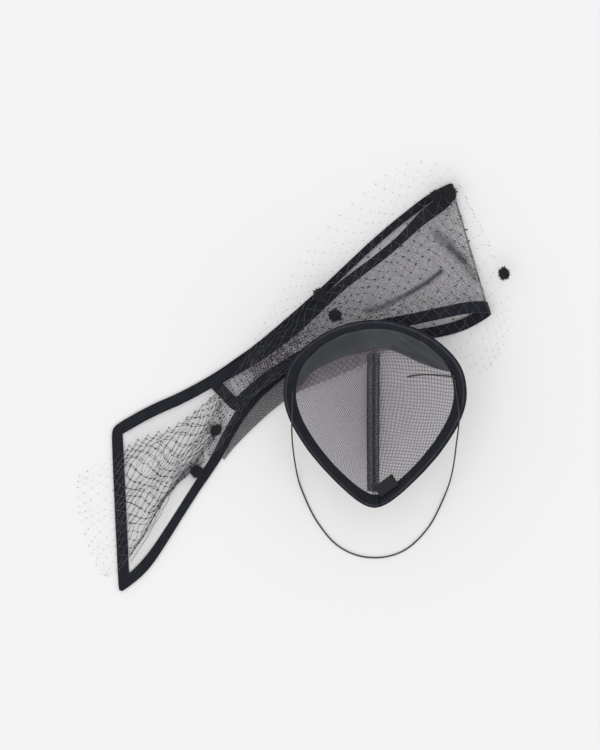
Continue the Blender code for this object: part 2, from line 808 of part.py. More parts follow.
def rim_towards(outline, x, y):
    """The place inside the binding on the line from the crown through a place."""
    crown = Vector((0.0, -CROWN_AT * CAP_LONG))
    want = math.atan2(abs(x) - crown.x, y - crown.y)
    inset = 2 * LINING_ROOM
    inner = [walk_in(outline, i, binding_width(p) + inset) for i, p in enumerate(outline)]
    for a, b in zip(inner, inner[1:]):
        start = math.atan2(a.x - crown.x, a.y - crown.y)
        end = math.atan2(b.x - crown.x, b.y - crown.y)
        if start <= want <= end and end > start:
            p = a.lerp(b, (want - start) / (end - start))
            return Vector((math.copysign(p.x, x), p.y))
    return Vector((x, y))


def inner_band(outline):
    """The satin band inside the upper part of the cap, from the binding to its loose edge."""
    columns = 5
    grid = []
    for across, along in resampled(BAND_ROWS, 25):
        low = Vector((across * CAP_WIDE / 2, -along * CAP_LONG))
        high = rim_towards(outline, low.x, low.y)
        if (high - low).length < CLEARANCE * 8:
            high = low + (high - low).normalized() * CLEARANCE * 8
        line = []
        for c in range(columns):
            p = high.lerp(low, c / (columns - 1))
            line.append(on_bowl(p.x, p.y, over_mesh(BAND_THICK)))
        grid.append(line)
    return sheet("inner_band", grid, BAND_THICK, "satin")


def label():
    """The small tab near the point, lying over the tape's end and the binding."""
    turn = math.radians(LABEL_TURN)
    along = Vector((math.cos(turn), math.sin(turn)))
    across = Vector((-along.y, along.x))
    middle = Vector((LABEL_X, -LABEL_AT * CAP_LONG))
    lift = over_mesh(TAPE_THICK) + TAPE_THICK / 2 + LINING_ROOM + LABEL_THICK / 2
    grid = []
    for r in range(7):
        line = []
        for c in range(4):
            p = middle + along * LABEL_LONG * (r / 6 - 0.5) + across * LABEL_WIDE * (c / 3 - 0.5)
            line.append(on_bowl(p.x, p.y, lift))
        grid.append(line)
    return sheet("label", grid, LABEL_THICK, "tape")


def edge_places(objects):
    """Places along every edge of several objects, at most a settling step apart."""
    places = []
    for obj in objects:
        points = [v.co for v in obj.data.vertices]
        for edge in obj.data.edges:
            a = points[edge.vertices[0]]
            b = points[edge.vertices[1]]
            steps = int((b - a).length / SETTLE_STEP) + 1
            places += [a.lerp(b, k / steps) for k in range(steps)]
    return places


def placed_cap(pieces, supports):
    """Turns the cap into place and sets it down until it just clears what lies under it."""
    place = bow_point(CAP_X, CAP_Y)
    turn = Matrix.Translation(place) @ Matrix.Rotation(math.radians(CAP_TURN), 4, "Z")
    for obj in pieces:
        obj.data.transform(turn)
    cap = tree_of(pieces)
    below = tree_of(supports)
    room = min(v.co.z for obj in pieces for v in obj.data.vertices)
    for p in edge_places(pieces):
        hit = below.ray_cast(Vector((p.x, p.y, 1.0)), Vector((0, 0, -1)))[0]
        if hit:
            room = min(room, p.z - hit.z)
    for p in edge_places(supports):
        hit = cap.ray_cast(Vector((p.x, p.y, -1.0)), Vector((0, 0, 1)))[0]
        if hit:
            room = min(room, hit.z - p.z)
    drop = Matrix.Translation(Vector((0, 0, CLEARANCE - room)))
    for obj in pieces:
        obj.data.transform(drop)


# The elastic


def cord(name, route, count):
    """A round elastic along a smooth curve through its chosen points."""
    data = bpy.data.curves.new(name, "CURVE")
    data.dimensions = "3D"
    data.bevel_depth = CORD_WIDE / 2
    data.bevel_resolution = 2
    data.use_fill_caps = True
    spline = data.splines.new("POLY")
    points = resampled(route, count)
    spline.points.add(count - 1)
    for point, place in zip(spline.points, points):
        point.co = (*place, 1.0)
    data.materials.append(material("elastic"))
    obj = bpy.data.objects.new(name, data)
    bpy.context.collection.objects.link(obj)
    return obj


def knot():
    """The knot that keeps the elastic in the cap."""
    bm = bmesh.new()
    bmesh.ops.create_uvsphere(bm, u_segments=10, v_segments=7, radius=KNOT_WIDE / 2)
    bmesh.ops.translate(bm, vec=KNOT_PLACE, verts=bm.verts[:])
    return add_object("elastic_knot", bm, "elastic")


def main():
    for obj in list(bpy.data.objects):
        bpy.data.objects.remove(obj, do_unlink=True)
    edges = ribbon_edges()
    bow = [bow_binding(edges), bow_mesh(edges), rolled_margin()]
    net = veil(bow)
    dots = [dot(k + 1, x, y, bow + [net]) for k, (x, y) in enumerate(DOTS)]
    outline = rim_outline(25)
    cap = [
        cap_binding(outline),
        cap_half("cap_right", outline, 1),
        cap_half("cap_left", outline, -1),
        seam_tape(),
        inner_band(outline),
        label(),
    ]
    placed_cap(cap, bow + [net] + dots)
    cord("elastic", ELASTIC_ROUTE, 58)
    cord("elastic_tail", TAIL_ROUTE, 13)
    knot()


main()
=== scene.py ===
# A bow headpiece lying on a pale table, its small cap hollow side up.
# Metres, +Z up, seen from straight above with +Y at the top of the picture.
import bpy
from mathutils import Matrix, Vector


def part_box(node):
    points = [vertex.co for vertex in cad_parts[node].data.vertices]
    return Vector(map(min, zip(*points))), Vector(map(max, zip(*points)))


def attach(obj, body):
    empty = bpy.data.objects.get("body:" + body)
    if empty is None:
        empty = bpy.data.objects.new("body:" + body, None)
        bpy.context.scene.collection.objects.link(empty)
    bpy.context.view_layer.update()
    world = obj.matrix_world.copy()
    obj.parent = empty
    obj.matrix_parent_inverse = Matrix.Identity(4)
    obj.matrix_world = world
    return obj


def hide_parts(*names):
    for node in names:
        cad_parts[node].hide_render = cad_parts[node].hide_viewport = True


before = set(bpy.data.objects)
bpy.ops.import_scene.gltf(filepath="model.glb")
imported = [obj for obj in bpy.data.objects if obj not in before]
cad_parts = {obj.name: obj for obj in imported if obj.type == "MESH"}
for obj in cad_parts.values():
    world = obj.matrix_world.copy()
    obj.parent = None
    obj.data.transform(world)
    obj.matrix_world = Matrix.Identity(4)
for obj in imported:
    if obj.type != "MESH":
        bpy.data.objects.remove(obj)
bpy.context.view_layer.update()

import math
import random

import bmesh
import bpy
import numpy as np
from mathutils import Matrix, Vector, geometry, noise
from mathutils.bvhtree import BVHTree

print("frame loaded")

# Picture: what the camera sees of the table

picture = {
    "wide": 600, "high": 750,
    "pixel": 0.00085,  # metres of table in one pixel
    "originX": 295.0, "originY": 372.5,  # where the frame's origin lies in the picture
    "distance": 4.0, "sensor": 36.0,
}


def addCamera(look):
    x = (look["wide"] / 2 - look["originX"]) * look["pixel"]
    y = (look["originY"] - look["high"] / 2) * look["pixel"]
    bpy.ops.object.camera_add(location=(x, y, look["distance"]), rotation=(0, 0, 0))
    camera = bpy.context.object
    camera.data.sensor_width = look["sensor"]
    camera.data.lens = look["sensor"] * look["distance"] / (look["high"] * look["pixel"])
    camera.data.clip_start = 0.1
    camera.data.clip_end = 20.0
    bpy.context.scene.camera = camera


addCamera(picture)

# Small helpers for modelling


def only(obj):
    bpy.ops.object.select_all(action="DESELECT")
    obj.select_set(True)
    bpy.context.view_layer.objects.active = obj


def editAll(obj):
    only(obj)
    bpy.ops.object.mode_set(mode="EDIT")
    bpy.ops.mesh.select_all(action="SELECT")


def leaveEdit():
    bpy.ops.object.mode_set(mode="OBJECT")


def applied(obj, kind, **settings):
    modifier = obj.modifiers.new(kind.title(), kind)
    for key, value in settings.items():
        setattr(modifier, key, value)
    only(obj)
    bpy.ops.object.modifier_apply(modifier=modifier.name)


def subdivided(obj, levels):
    applied(obj, "SUBSURF", levels=levels, render_levels=levels, boundary_smooth="PRESERVE_CORNERS")


solidLook = {
    "weld": 0.00001,
    "quadTurn": 40,  # how far two triangles may turn, and how skewed they may be, to make a quad
    "quadSkew": 70,
    "bend": 50,  # a turn of more degrees is a corner, and ends one side of a cloth wall
    "wall": 0.001,  # thickness of the solid cloths
}


def finished(obj, mat, slot, *nodes):
    # gives a piece its finish and its body, and hides the solids that it stands for
    obj.data.materials.clear()
    obj.data.materials.append(mat)
    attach(obj, "root")
    if nodes:
        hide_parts(*nodes)


def linked(name, data):
    obj = bpy.data.objects.new(name, data)
    bpy.context.collection.objects.link(obj)
    return obj


def nodeCopy(node, name):
    # a welded copy of a solid, in quads
    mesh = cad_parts[node].data.copy()
    mesh.name = name
    obj = linked(name, mesh)
    only(obj)
    bpy.ops.mesh.customdata_custom_splitnormals_clear()
    editAll(obj)
    bpy.ops.mesh.remove_doubles(threshold=solidLook["weld"])
    turn, skew = [math.radians(solidLook[key]) for key in ("quadTurn", "quadSkew")]
    bpy.ops.mesh.tris_convert_to_quads(face_threshold=turn, shape_threshold=skew)
    leaveEdit()
    mesh.shade_smooth()
    return obj


def keepSide(obj, score, bend):
    # keeps one side of a cloth wall: what lies smoothly round the face with the best score
    mesh = obj.data
    best = max(mesh.polygons, key=score).index
    editAll(obj)
    bpy.ops.mesh.select_mode(type="FACE")
    bpy.ops.mesh.select_all(action="DESELECT")
    leaveEdit()
    mesh.polygons[best].select = True
    bpy.ops.object.mode_set(mode="EDIT")
    bpy.ops.mesh.faces_select_linked_flat(sharpness=math.radians(bend))
    bpy.ops.mesh.select_all(action="INVERT")
    bpy.ops.mesh.delete(type="FACE")
    bpy.ops.mesh.select_mode(type="VERT")
    leaveEdit()


def fatten(obj, distance):
    editAll(obj)
    bpy.ops.transform.shrink_fatten(value=distance)
    leaveEdit()


def growRim(obj, distance, near=None, within=0.0):
    # carries a cloth's open edge on, so that it lies inside the band that holds it
    bm = bmesh.new()
    bm.from_mesh(obj.data)
    moves = {}
    for vert in bm.verts:
        if not vert.is_boundary or (near and near.find_nearest(vert.co)[3] > within):
            continue
        inner = [e.other_vert(vert) for e in vert.link_edges if not e.is_boundary]
        around = inner or [e.other_vert(vert) for e in vert.link_edges]
        push = Vector()
        for other in around:
            push += (vert.co - other.co).normalized()
        if push.length > 0.1:  # where pushes cancel out, the edge stays
            moves[vert] = push.normalized() * distance
    for vert, move in moves.items():
        vert.co += move
    bm.to_mesh(obj.data)
    bm.free()


def clothSide(node, name, score=lambda face: face.normal.z, bend=solidLook["bend"]):
    # one side of a solid cloth wall, moved to the middle of the wall
    obj = nodeCopy(node, name)
    keepSide(obj, score, bend)
    fatten(obj, -solidLook["wall"] / 2)
    return obj


def clothUv(obj):
    # lays the cloth out flat and gives its map in metres
    editAll(obj)
    bpy.ops.uv.unwrap(method="CONFORMAL", margin=0.0)
    leaveEdit()
    mesh = obj.data
    uv = mesh.uv_layers.active.data
    flat = 0.0
    for face in mesh.polygons:
        corners = [uv[k].uv for k in face.loop_indices]
        for a, b in zip(corners, corners[1:] + corners[:1]):
            flat += (a.x * b.y - b.x * a.y) / 2
    scale = math.sqrt(sum(face.area for face in mesh.polygons) / abs(flat))
    for corner in uv:
        corner.uv = corner.uv * scale


def paint(obj, name, rule):
    layer = obj.data.attributes.new(name, "FLOAT", "POINT")
    for vert, item in zip(obj.data.vertices, layer.data):
        item.value = rule(vert.co)


def finishedCloth(obj, thick, cover, mat, slot, node):
    # paints how dense the cloth is, gives it its thickness and finishes it
    paint(obj, "cover", cover)
    applied(obj, "SOLIDIFY", thickness=thick, offset=0.0)
    finished(obj, mat, slot, node)
    return obj


def curveAt(rows, place):
    # a smooth curve through the rows, read at a place from 0 to 1
    last = len(rows) - 1
    place = min(max(place, 0.0), 1.0) * last
    i = min(int(place), last - 1)
    t = place - i
    around = rows[max(i - 1, 0)], rows[i], rows[i + 1], rows[min(i + 2, last)]
    return [
        (2 * b + (c - a) * t + (2 * a - 5 * b + 4 * c - d) * t**2 + (3 * b - a - 3 * c + d) * t**3) / 2
        for a, b, c, d in zip(*around)
    ]


def bumpy(point, size, seed=0.0):
    # smooth noise from -1 to 1 with lumps of that size
    return noise.noise(Vector((point.x / size + seed, point.y / size, point.z / size)))


def treeOf(*nodes):
    points = []
    faces = []
    for node in nodes:
        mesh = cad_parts[node].data
        start = len(points)
        points += [v.co.copy() for v in mesh.vertices]
        faces += [[start + v for v in p.vertices] for p in mesh.polygons]
    return BVHTree.FromPolygons(points, faces)


def meets(tree, x, y):
    # where a ray straight down meets the solids, and the surface's normal there
    return tree.ray_cast(Vector((x, y, 1.0)), Vector((0, 0, -1)))[:2]


def rounded(obj, width, segments):
    corner = math.radians(solidLook["bend"])
    applied(obj, "BEVEL", width=width, segments=segments, limit_method="ANGLE", angle_limit=corner)
    subdivided(obj, 1)


# Materials


def newMaterial(name, color, roughness, more={}):
    mat = bpy.data.materials.new(name)
    mat.use_nodes = True
    shader = mat.node_tree.nodes["Principled BSDF"]
    for key, value in {"Base Color": (*color, 1.0), "Roughness": roughness, **more}.items():
        shader.inputs[key].default_value = value
    return mat, shader


def addNode(mat, kind, links=None, **settings):
    # a node with its settings, sockets filled from values or from other nodes' outputs
    node = mat.node_tree.nodes.new("ShaderNode" + kind)
    for key, value in settings.items():
        setattr(node, key, value)
    for key, value in (links or {}).items():
        if isinstance(value, bpy.types.NodeSocket):
            mat.node_tree.links.new(value, node.inputs[key])
        else:
            node.inputs[key].default_value = value
    return node


def objectPlace(mat):
    return addNode(mat, "TexCoord").outputs["Object"]


def calc(mat, operation, *values, clamp=False):
    links = dict(enumerate(values))
    return addNode(mat, "Math", links, operation=operation, use_clamp=clamp).outputs[0]


def vectorCalc(mat, operation, links, output="Vector"):
    return addNode(mat, "VectorMath", links, operation=operation).outputs[output]


def ranged(mat, value, start, end, low=0.0, high=1.0, **settings):
    # low where the value is at the start, high where it is at the end
    links = {"Value": value, "From Min": start, "From Max": end, "To Min": low, "To Max": high}
    return addNode(mat, "MapRange", links, **settings).outputs[0]


def painted(mat, name):
    return addNode(mat, "Attribute", attribute_name=name).outputs["Fac"]


def speckle(mat, place, scale, detail=3.0):
    links = {"Vector": place, "Scale": scale, "Detail": detail}
    return addNode(mat, "TexNoise", links).outputs["Fac"]


def toned(mat, shader, factor, dark, light):
    # colour that runs from dark to light with a noise
    ramp = addNode(mat, "ValToRGB", {"Fac": factor})
    for stop, place, color in zip(ramp.color_ramp.elements, (0.3, 0.7), (dark, light)):
        stop.position = place
        stop.color = (*color, 1.0)
    mat.node_tree.links.new(ramp.outputs["Color"], shader.inputs["Base Color"])


def bumped(mat, shader, height, strength, distance):
    bump = addNode(mat, "Bump", {"Height": height, "Strength": strength, "Distance": distance})
    mat.node_tree.links.new(bump.outputs["Normal"], shader.inputs["Normal"])


def tinted(mat, shader, mask, color):
    # turns the base colour towards another one where the mask says so
    under = shader.inputs["Base Color"].links[0].from_socket
    mix = addNode(mat, "Mix", {0: mask, 6: under, 7: (*color, 1.0)}, data_type="RGBA")
    mat.node_tree.links.new(mix.outputs[2], shader.inputs["Base Color"])


def chained(mat, operation, parts):
    total = parts[0]
    for part in parts[1:]:
        total = calc(mat, operation, total, part)
    return total


def lineMask(mat, place, start, end, wide, core):
    # 1 along a line between two places of the plan, 0 beyond its half width
    start = Vector((*start, 0.0))
    along = Vector((*end, 0.0)) - start
    way = tuple(along / along.length_squared)
    plan = vectorCalc(mat, "MULTIPLY", {0: place, 1: (1.0, 1.0, 0.0)})
    away = vectorCalc(mat, "SUBTRACT", {0: plan, 1: tuple(start)})
    dot = vectorCalc(mat, "DOT_PRODUCT", {0: away, 1: way}, "Value")
    share = calc(mat, "ADD", dot, 0.0, clamp=True)
    reach = vectorCalc(mat, "SCALE", {0: tuple(along), "Scale": share})
    gap = vectorCalc(mat, "DISTANCE", {0: away, 1: reach}, "Value")
    return ranged(mat, gap, wide, wide * core, interpolation_type="SMOOTHSTEP")


def pathMask(mat, place, points, wide, core):
    masks = [lineMask(mat, place, a, b, wide, core) for a, b in zip(points, points[1:])]
    return chained(mat, "MAXIMUM", masks)


def tintLines(mat, shader, place, lines):
    # each line: places, half width, solid share of it, colour, how far the colour turns
    for points, wide, core, color, turn in lines:
        mask = pathMask(mat, place, points, wide, core)
        tinted(mat, shader, calc(mat, "MULTIPLY", mask, turn), color)


velvetLook = {
    "dark": (0.009, 0.01, 0.014), "light": (0.019, 0.021, 0.027), "rough": 0.92,
    "patch": (120.0, 5.0),  # scale and detail of a noise
    "nap": (1700.0, 2.0),
    "bump": (0.55, 0.0004),  # strength and depth
    "shine": {"Specular IOR Level": 0.12, "Sheen Weight": 0.22, "Sheen Roughness": 0.35,
              "Sheen Tint": (0.62, 0.66, 0.8, 1.0)},
    # painted highlights along the rim, where its rolled ridges catch the light: distance from its outer
    # edge, half width, from and to in X, strength
    "rimHighlights": [(0.002, 0.0006, 0.105, 0.07, 1.1), (0.0026, 0.0008, 0.07, 0.1, 0.9)],
    "rimHighlightColor": (0.1, 0.105, 0.125),
    # where the rim's binding overlaps itself, as tintLines reads it
    "seams": [(((0.0712, -0.1035), (0.0714, -0.114)), 0.0009, 0.3, (0.002, 0.002, 0.003), 1.0)],
}


def velvetFinish(look, name, rimHighlights=(), seams=()):
    mat, shader = newMaterial(name, look["dark"], look["rough"], look["shine"])
    place = objectPlace(mat)
    patch = speckle(mat, place, *look["patch"])
    pile = speckle(mat, place, *look["nap"])
    half = calc(mat, "MULTIPLY", calc(mat, "ADD", patch, pile), 0.5)
    toned(mat, shader, half, look["dark"], look["light"])
    bumped(mat, shader, pile, *look["bump"])
    # painted highlight lines along the rim, where its ridges catch the light
    for at, wide, start, end, strength in rimHighlights:
        away = calc(mat, "ABSOLUTE", calc(mat, "SUBTRACT", painted(mat, "rim"), at))
        line = ranged(mat, away, wide, 0.0, 0.0, strength)
        x = addNode(mat, "SeparateXYZ", {0: place}).outputs["X"]
        side = ranged(mat, x, start, end)
        tinted(mat, shader, chained(mat, "MULTIPLY", [line, side, patch]), look["rimHighlightColor"])
    tintLines(mat, shader, place, seams)
    return mat


def strands(mat, place, pitch, direction, wobble):
    # bright lines a pitch apart: the threads that run one way
    scale = math.pi / 10 / pitch  # at scale 1 the shader's lines lie pi / 10 apart
    links = {"Vector": place, "Scale": scale, "Distortion": wobble, "Detail": 1.0, "Detail Scale": 0.02}
    return addNode(mat, "TexWave", links, bands_direction=direction).outputs["Fac"]


def woven(mat, flat, pitch, wobble, empty, haze):
    # threads that cross, 1 on a thread and haze between them
    warp = strands(mat, flat, pitch, "X", wobble)
    weft = strands(mat, flat, pitch, "Y", wobble)
    return ranged(mat, calc(mat, "MAXIMUM", warp, weft), empty, 1.0, haze, 1.0)


def meshFinish(name, look):
    # see-through cloth of fine stiff threads that cross, coarser where it is bunched
    mat, shader = newMaterial(name, look["dark"], 0.5, {"Specular IOR Level": 0.2})
    place = objectPlace(mat)
    flat = addNode(mat, "UVMap").outputs["UV"]
    wander, size = look["drift"]
    drift = addNode(mat, "TexNoise", {"Vector": flat, "Scale": size, "Detail": 1.0}).outputs["Color"]
    middle = vectorCalc(mat, "SUBTRACT", {0: drift, 1: (0.5, 0.5, 0.5)})
    shift = vectorCalc(mat, "SCALE", {0: middle, "Scale": wander})
    warped = vectorCalc(mat, "ADD", {0: flat, 1: shift})
    turned = addNode(mat, "Mapping", {"Vector": warped, "Rotation": (0, 0, look["turn"])}).outputs[0]
    line = woven(mat, turned, *look["weave"])
    if "coarse" in look:
        size, *spread = look["blot"]
        blot = ranged(mat, speckle(mat, place, size, 1.0), *spread)
        rough = calc(mat, "MULTIPLY", woven(mat, turned, *look["coarse"]), blot)
        more = calc(mat, "SUBTRACT", rough, line)
        line = calc(mat, "MULTIPLY_ADD", more, painted(mat, "coarse"), line)
    alpha = calc(mat, "MULTIPLY", line, painted(mat, "cover"))
    for points, wide, core, added in look.get("creases", []):
        mask = pathMask(mat, place, points, wide, core)
        alpha = calc(mat, "MULTIPLY_ADD", mask, added, alpha)
    for points, wide, core, weave, added in look.get("dashes", []):
        dash = woven(mat, turned, *weave)
        mask = pathMask(mat, place, points, wide, core)
        alpha = calc(mat, "MULTIPLY_ADD", calc(mat, "MULTIPLY", mask, dash), added, alpha)
    mat.node_tree.links.new(calc(mat, "MINIMUM", alpha, 1.0), shader.inputs["Alpha"])
    toned(mat, shader, speckle(mat, flat, look["grain"]), look["dark"], look["light"])
    tintLines(mat, shader, place, look.get("tints", []))
    return mat


def satinFinish(name, look):
    shine = {"Sheen Weight": look["sheen"], "Sheen Roughness": 0.45}
    mat, shader = newMaterial(name, look["dark"], look["rough"], shine)
    flat = addNode(mat, "UVMap").outputs["UV"]
    place = objectPlace(mat)
    weft = strands(mat, flat, look["pitch"], "Y", 0.4)
    cloud = speckle(mat, place, look["cloud"], 4.0)
    toned(mat, shader, cloud, look["dark"], look["light"])
    tintLines(mat, shader, place, look["lines"])
    bumped(mat, shader, weft, 0.25, 0.0001)
    return mat


def threadFinish(name, dark, light, roughness, grain):
    mat, shader = newMaterial(name, dark, roughness)
    twist = speckle(mat, objectPlace(mat), grain, 2.0)
    toned(mat, shader, twist, dark, light)
    bumped(mat, shader, twist, 0.4, 0.0002)
    return mat


velvet = velvetFinish(velvetLook, "blueBlackVelvet")
# the rim's velvet carries the painted highlight lines and the dark seam lines
rimVelvet = velvetFinish(velvetLook, "blueBlackVelvetRimPaintedHighlights", velvetLook["rimHighlights"], velvetLook["seams"])

# In the cloths, weave and coarse give pitch, wobble, where it is open and the haze between the threads.
# drift is how far the weave wanders and its noise scale. blot is a noise scale, two values of the noise
# and how strong the coarse weave is at each.
meshDark = (0.056, 0.038, 0.06)
meshLight = (0.118, 0.086, 0.126)
# colour of the painted shade in the bow's creases
creaseShade = (0.018, 0.018, 0.022)
creaseA = ((0.0612, 0.0523), (0.0723, 0.0548), (0.095, 0.066), (0.113, 0.077), (0.124, 0.0859))
creaseB = ((0.1205, 0.1175), (0.131, 0.107), (0.144, 0.094), (0.1545, 0.08))
foldEdge = ((0.1351, 0.15), (0.1435, 0.122), (0.1615, 0.0616))
bowCloth = meshFinish(
    "stiffMeshOfBow",
    {
        "dark": meshDark, "light": meshLight, "turn": 0.35, "weave": (0.0013, 0.6, 0.35, 0.35),
        "grain": 260.0, "coarse": (0.0023, 1.1, 0.42, 0.04), "blot": (420.0, 0.36, 0.64, 0.15, 2.3),
        "drift": (0.008, 40.0),
        "creases": [
            # places, half width, solid share of it, added cover
            (creaseA, 0.0042, 0.0, 0.13), (creaseA[2:], 0.0018, 0.0, 0.15),
            (creaseB, 0.0075, 0.0, 0.1), (creaseB[1:3], 0.0034, 0.0, 0.13),
            (foldEdge, 0.0015, 0.2, 0.16),
        ],
        # painted shade along the creases and the loop's fold edge; each: places, half width, solid share,
        # colour, how far the colour turns
        "tints": [(creaseA, 0.004, 0.2, creaseShade, 0.8), (creaseB, 0.007, 0.1, creaseShade, 0.75),
                  (foldEdge, 0.0014, 0.3, creaseShade, 0.8)],
    },
)
rollCloth = meshFinish(
    "stiffMeshOfMargin",
    {"dark": (0.044, 0.04, 0.047), "light": (0.088, 0.08, 0.093), "turn": 0.9,
     "weave": (0.0016, 0.7, 0.3, 0.25), "grain": 260.0, "drift": (0.006, 60.0)},
)
rightCloth = meshFinish(
    "stiffMeshOfCapRight",
    {"dark": meshDark, "light": meshLight, "turn": 0.0, "weave": (0.0028, 0.4, 0.3, 0.3),
     "grain": 300.0, "drift": (0.016, 14.0)},
)
leftCloth = meshFinish(
    "stiffMeshOfCapLeft",
    {"dark": meshDark, "light": meshLight, "turn": 0.6, "weave": (0.0014, 0.8, 0.3, 0.24),
     "grain": 300.0, "drift": (0.016, 18.0),
     # the net that shows through below the satin: places, half width, solid share, weave, added cover
     "dashes": [(((0.0, -0.011), (0.0253, -0.001), (0.051, 0.0085)), 0.011, 0.2,
                 (0.0042, 2.5, 0.62, 0.0), 0.17)]},
)
satin = satinFinish(
    "greySatin",
    {"dark": (0.024, 0.026, 0.03), "light": (0.046, 0.05, 0.057), "rough": 0.42, "pitch": 0.0004,
     "cloud": 28.0, "sheen": 0.1,
     # lines, each: places, half width, solid share, colour, how far the colour turns. A painted highlight
     # along the fold, painted shade of the edge that rolls under below it, a dark patch near the velvet's
     # colour by the binding, and broader painted shade beside the fold and at the left end.
     "lines": [
         (((0.0892, 0.029), (0.112, 0.0145), (0.1347, -0.0005)), 0.0011, 0.3, (0.088, 0.093, 0.104), 0.8),
         (((0.0834, 0.0215), (0.11, 0.0105), (0.1325, -0.0045)), 0.0026, 0.3, (0.014, 0.015, 0.019), 0.75),
         (((0.0085, 0.0235), (0.0195, 0.023), (0.03, 0.0285), (0.0385, 0.0345)), 0.0042, 0.3,
          (0.01, 0.011, 0.014), 0.95),
         (((0.098, 0.03), (0.115, 0.018), (0.131, 0.003)), 0.015, 0.3, (0.019, 0.021, 0.025), 0.6),
         (((0.002, -0.008), (0.008, 0.006), (0.02, 0.016)), 0.013, 0.3, (0.019, 0.021, 0.024), 0.6),
     ]},
)
labelCloth = satinFinish(
    "blackLabelWeave",
    {"dark": (0.006, 0.007, 0.009), "light": (0.014, 0.015, 0.019), "rough": 0.8, "pitch": 0.0006,
     "cloud": 900.0, "sheen": 0.0, "lines": []},
)
netThread = threadFinish("netThread", (0.05, 0.054, 0.066), (0.095, 0.1, 0.12), 0.45, 900.0)
knotThread = threadFinish("netKnot", (0.014, 0.014, 0.018), (0.04, 0.041, 0.05), 0.6, 1200.0)
chenille = threadFinish("chenille", (0.008, 0.008, 0.011), (0.026, 0.025, 0.031), 0.95, 1500.0)
elasticThread = threadFinish("roundElastic", (0.015, 0.013, 0.014), (0.04, 0.036, 0.037), 0.6, 1600.0)
sewingThread = threadFinish("sewingThread", (0.1, 0.1, 0.11), (0.3, 0.3, 0.32), 0.5, 1500.0)
print("materials ready")

# Elastic: one free cord round the cap, and its short end past the knot

elasticLook = {
    "diameter": 0.0013,
    "steps": 170,
    "route": [
        (-0.0025, -0.0157, 0.0397), (-0.0025, -0.025, 0.0403), (-0.0025, -0.034, 0.0434),
        (-0.0026, -0.042, 0.0457), (-0.0026, -0.0505, 0.042), (-0.0021, -0.0599, 0.03),
        (-0.0011, -0.069, 0.0195), (0.0001, -0.077, 0.0108), (0.0019, -0.087, 0.0045),
        (0.0047, -0.097, 0.0014), (0.0104, -0.111, 0.0009), (0.016, -0.1222, 0.0008),
        (0.0226, -0.1323, 0.0008), (0.0315, -0.143, 0.0008), (0.042, -0.1508, 0.0008),
        (0.054, -0.1557, 0.0008), (0.0665, -0.1574, 0.0008), (0.079, -0.1563, 0.0008),
        (0.0905, -0.1524, 0.0008), (0.1, -0.1461, 0.0008), (0.1085, -0.1376, 0.0008),
        (0.1153, -0.1288, 0.0008), (0.1202, -0.12, 0.0009), (0.1247, -0.1105, 0.0014),
        (0.1293, -0.099, 0.0045), (0.1322, -0.089, 0.0108), (0.134, -0.079, 0.0195),
        (0.1351, -0.069, 0.03), (0.136, -0.059, 0.0395), (0.1373, -0.048, 0.0446),
        (0.1379, -0.038, 0.0453), (0.1374, -0.027, 0.0416), (0.1361, -0.018, 0.039),
        (0.135, -0.0105, 0.0383), (0.1345, -0.006, 0.0386),
    ],
    "endRoute": [
        (0.1322, -0.0036, 0.0364), (0.128, -0.003, 0.0319), (0.1238, -0.0025, 0.0284),
        (0.119, -0.0021, 0.025), (0.1143, -0.0019, 0.0218), (0.1095, -0.0019, 0.019),
        (0.1047, -0.0022, 0.0163), (0.1, -0.0028, 0.014), (0.0953, -0.0036, 0.0121),
    ],
    "endSteps": 40,
    "endSwell": 1.25,  # the cut end is a little thicker
    "knotPlace": (0.133, -0.0037, 0.0389),
    "knotSize": 0.00052,
    "knotStrand": 0.36,  # half width of its strand as a share of the cord's diameter
}


def cordCurve(name, route, diameter, steps, swell=1.0):
    data = bpy.data.curves.new(name, "CURVE")
    data.dimensions = "3D"
    data.bevel_depth = diameter / 2
    data.bevel_resolution = 3
    data.use_fill_caps = True
    spline = data.splines.new("POLY")
    spline.points.add(steps)
    for k, point in enumerate(spline.points):
        point.co = (*curveAt(route, k / steps), 1.0)
        point.radius = 1.0 + (swell - 1.0) * max(k / steps * 5 - 4, 0.0)  # over the last fifth
    return linked(name, data)


def addElastic(look):
    # the knot is an overhand one: a three-lobed loop pulled tight
    thin = look["diameter"] * look["knotStrand"]
    bpy.ops.mesh.primitive_torus_add(major_segments=90, minor_segments=8, major_radius=1, minor_radius=thin)
    knot = bpy.context.object
    knot.name = "elasticKnot"
    for vert in knot.data.vertices:
        turn = math.atan2(vert.co.y, vert.co.x)
        away = vert.co.xy.length - 1.0
        size = look["knotSize"]
        sin, sin2, sin3 = (math.sin(n * turn) for n in (1, 2, 3))
        cos, cos2, cos3 = (math.cos(n * turn) for n in (1, 2, 3))
        core = Vector((sin + 2 * sin2, cos - 2 * cos2, -sin3)) * size
        ahead = Vector((cos + 4 * cos2, -sin + 4 * sin2, -3 * cos3)).normalized()
        side = ahead.cross(Vector((0, 0, 1))).normalized()
        vert.co = core + side * away + side.cross(ahead) * vert.co.z + Vector(look["knotPlace"])
    editAll(knot)
    bpy.ops.mesh.normals_make_consistent(inside=False)
    leaveEdit()
    knot.data.shade_smooth()
    finished(knot, elasticThread, "elastic", "elastic_knot")
    way, endWay, wide = look["route"], look["endRoute"], look["diameter"]
    main = cordCurve("elasticCord", way, wide, look["steps"])
    finished(main, elasticThread, "elastic", "elastic")
    end = cordCurve("elasticEnd", endWay, wide, look["endSteps"], look["endSwell"])
    finished(end, elasticThread, "elastic", "elastic_tail")


addElastic(elasticLook)
print("elastic made")

# Bow: the stiff mesh ribbon, its rolled margin and its velvet binding

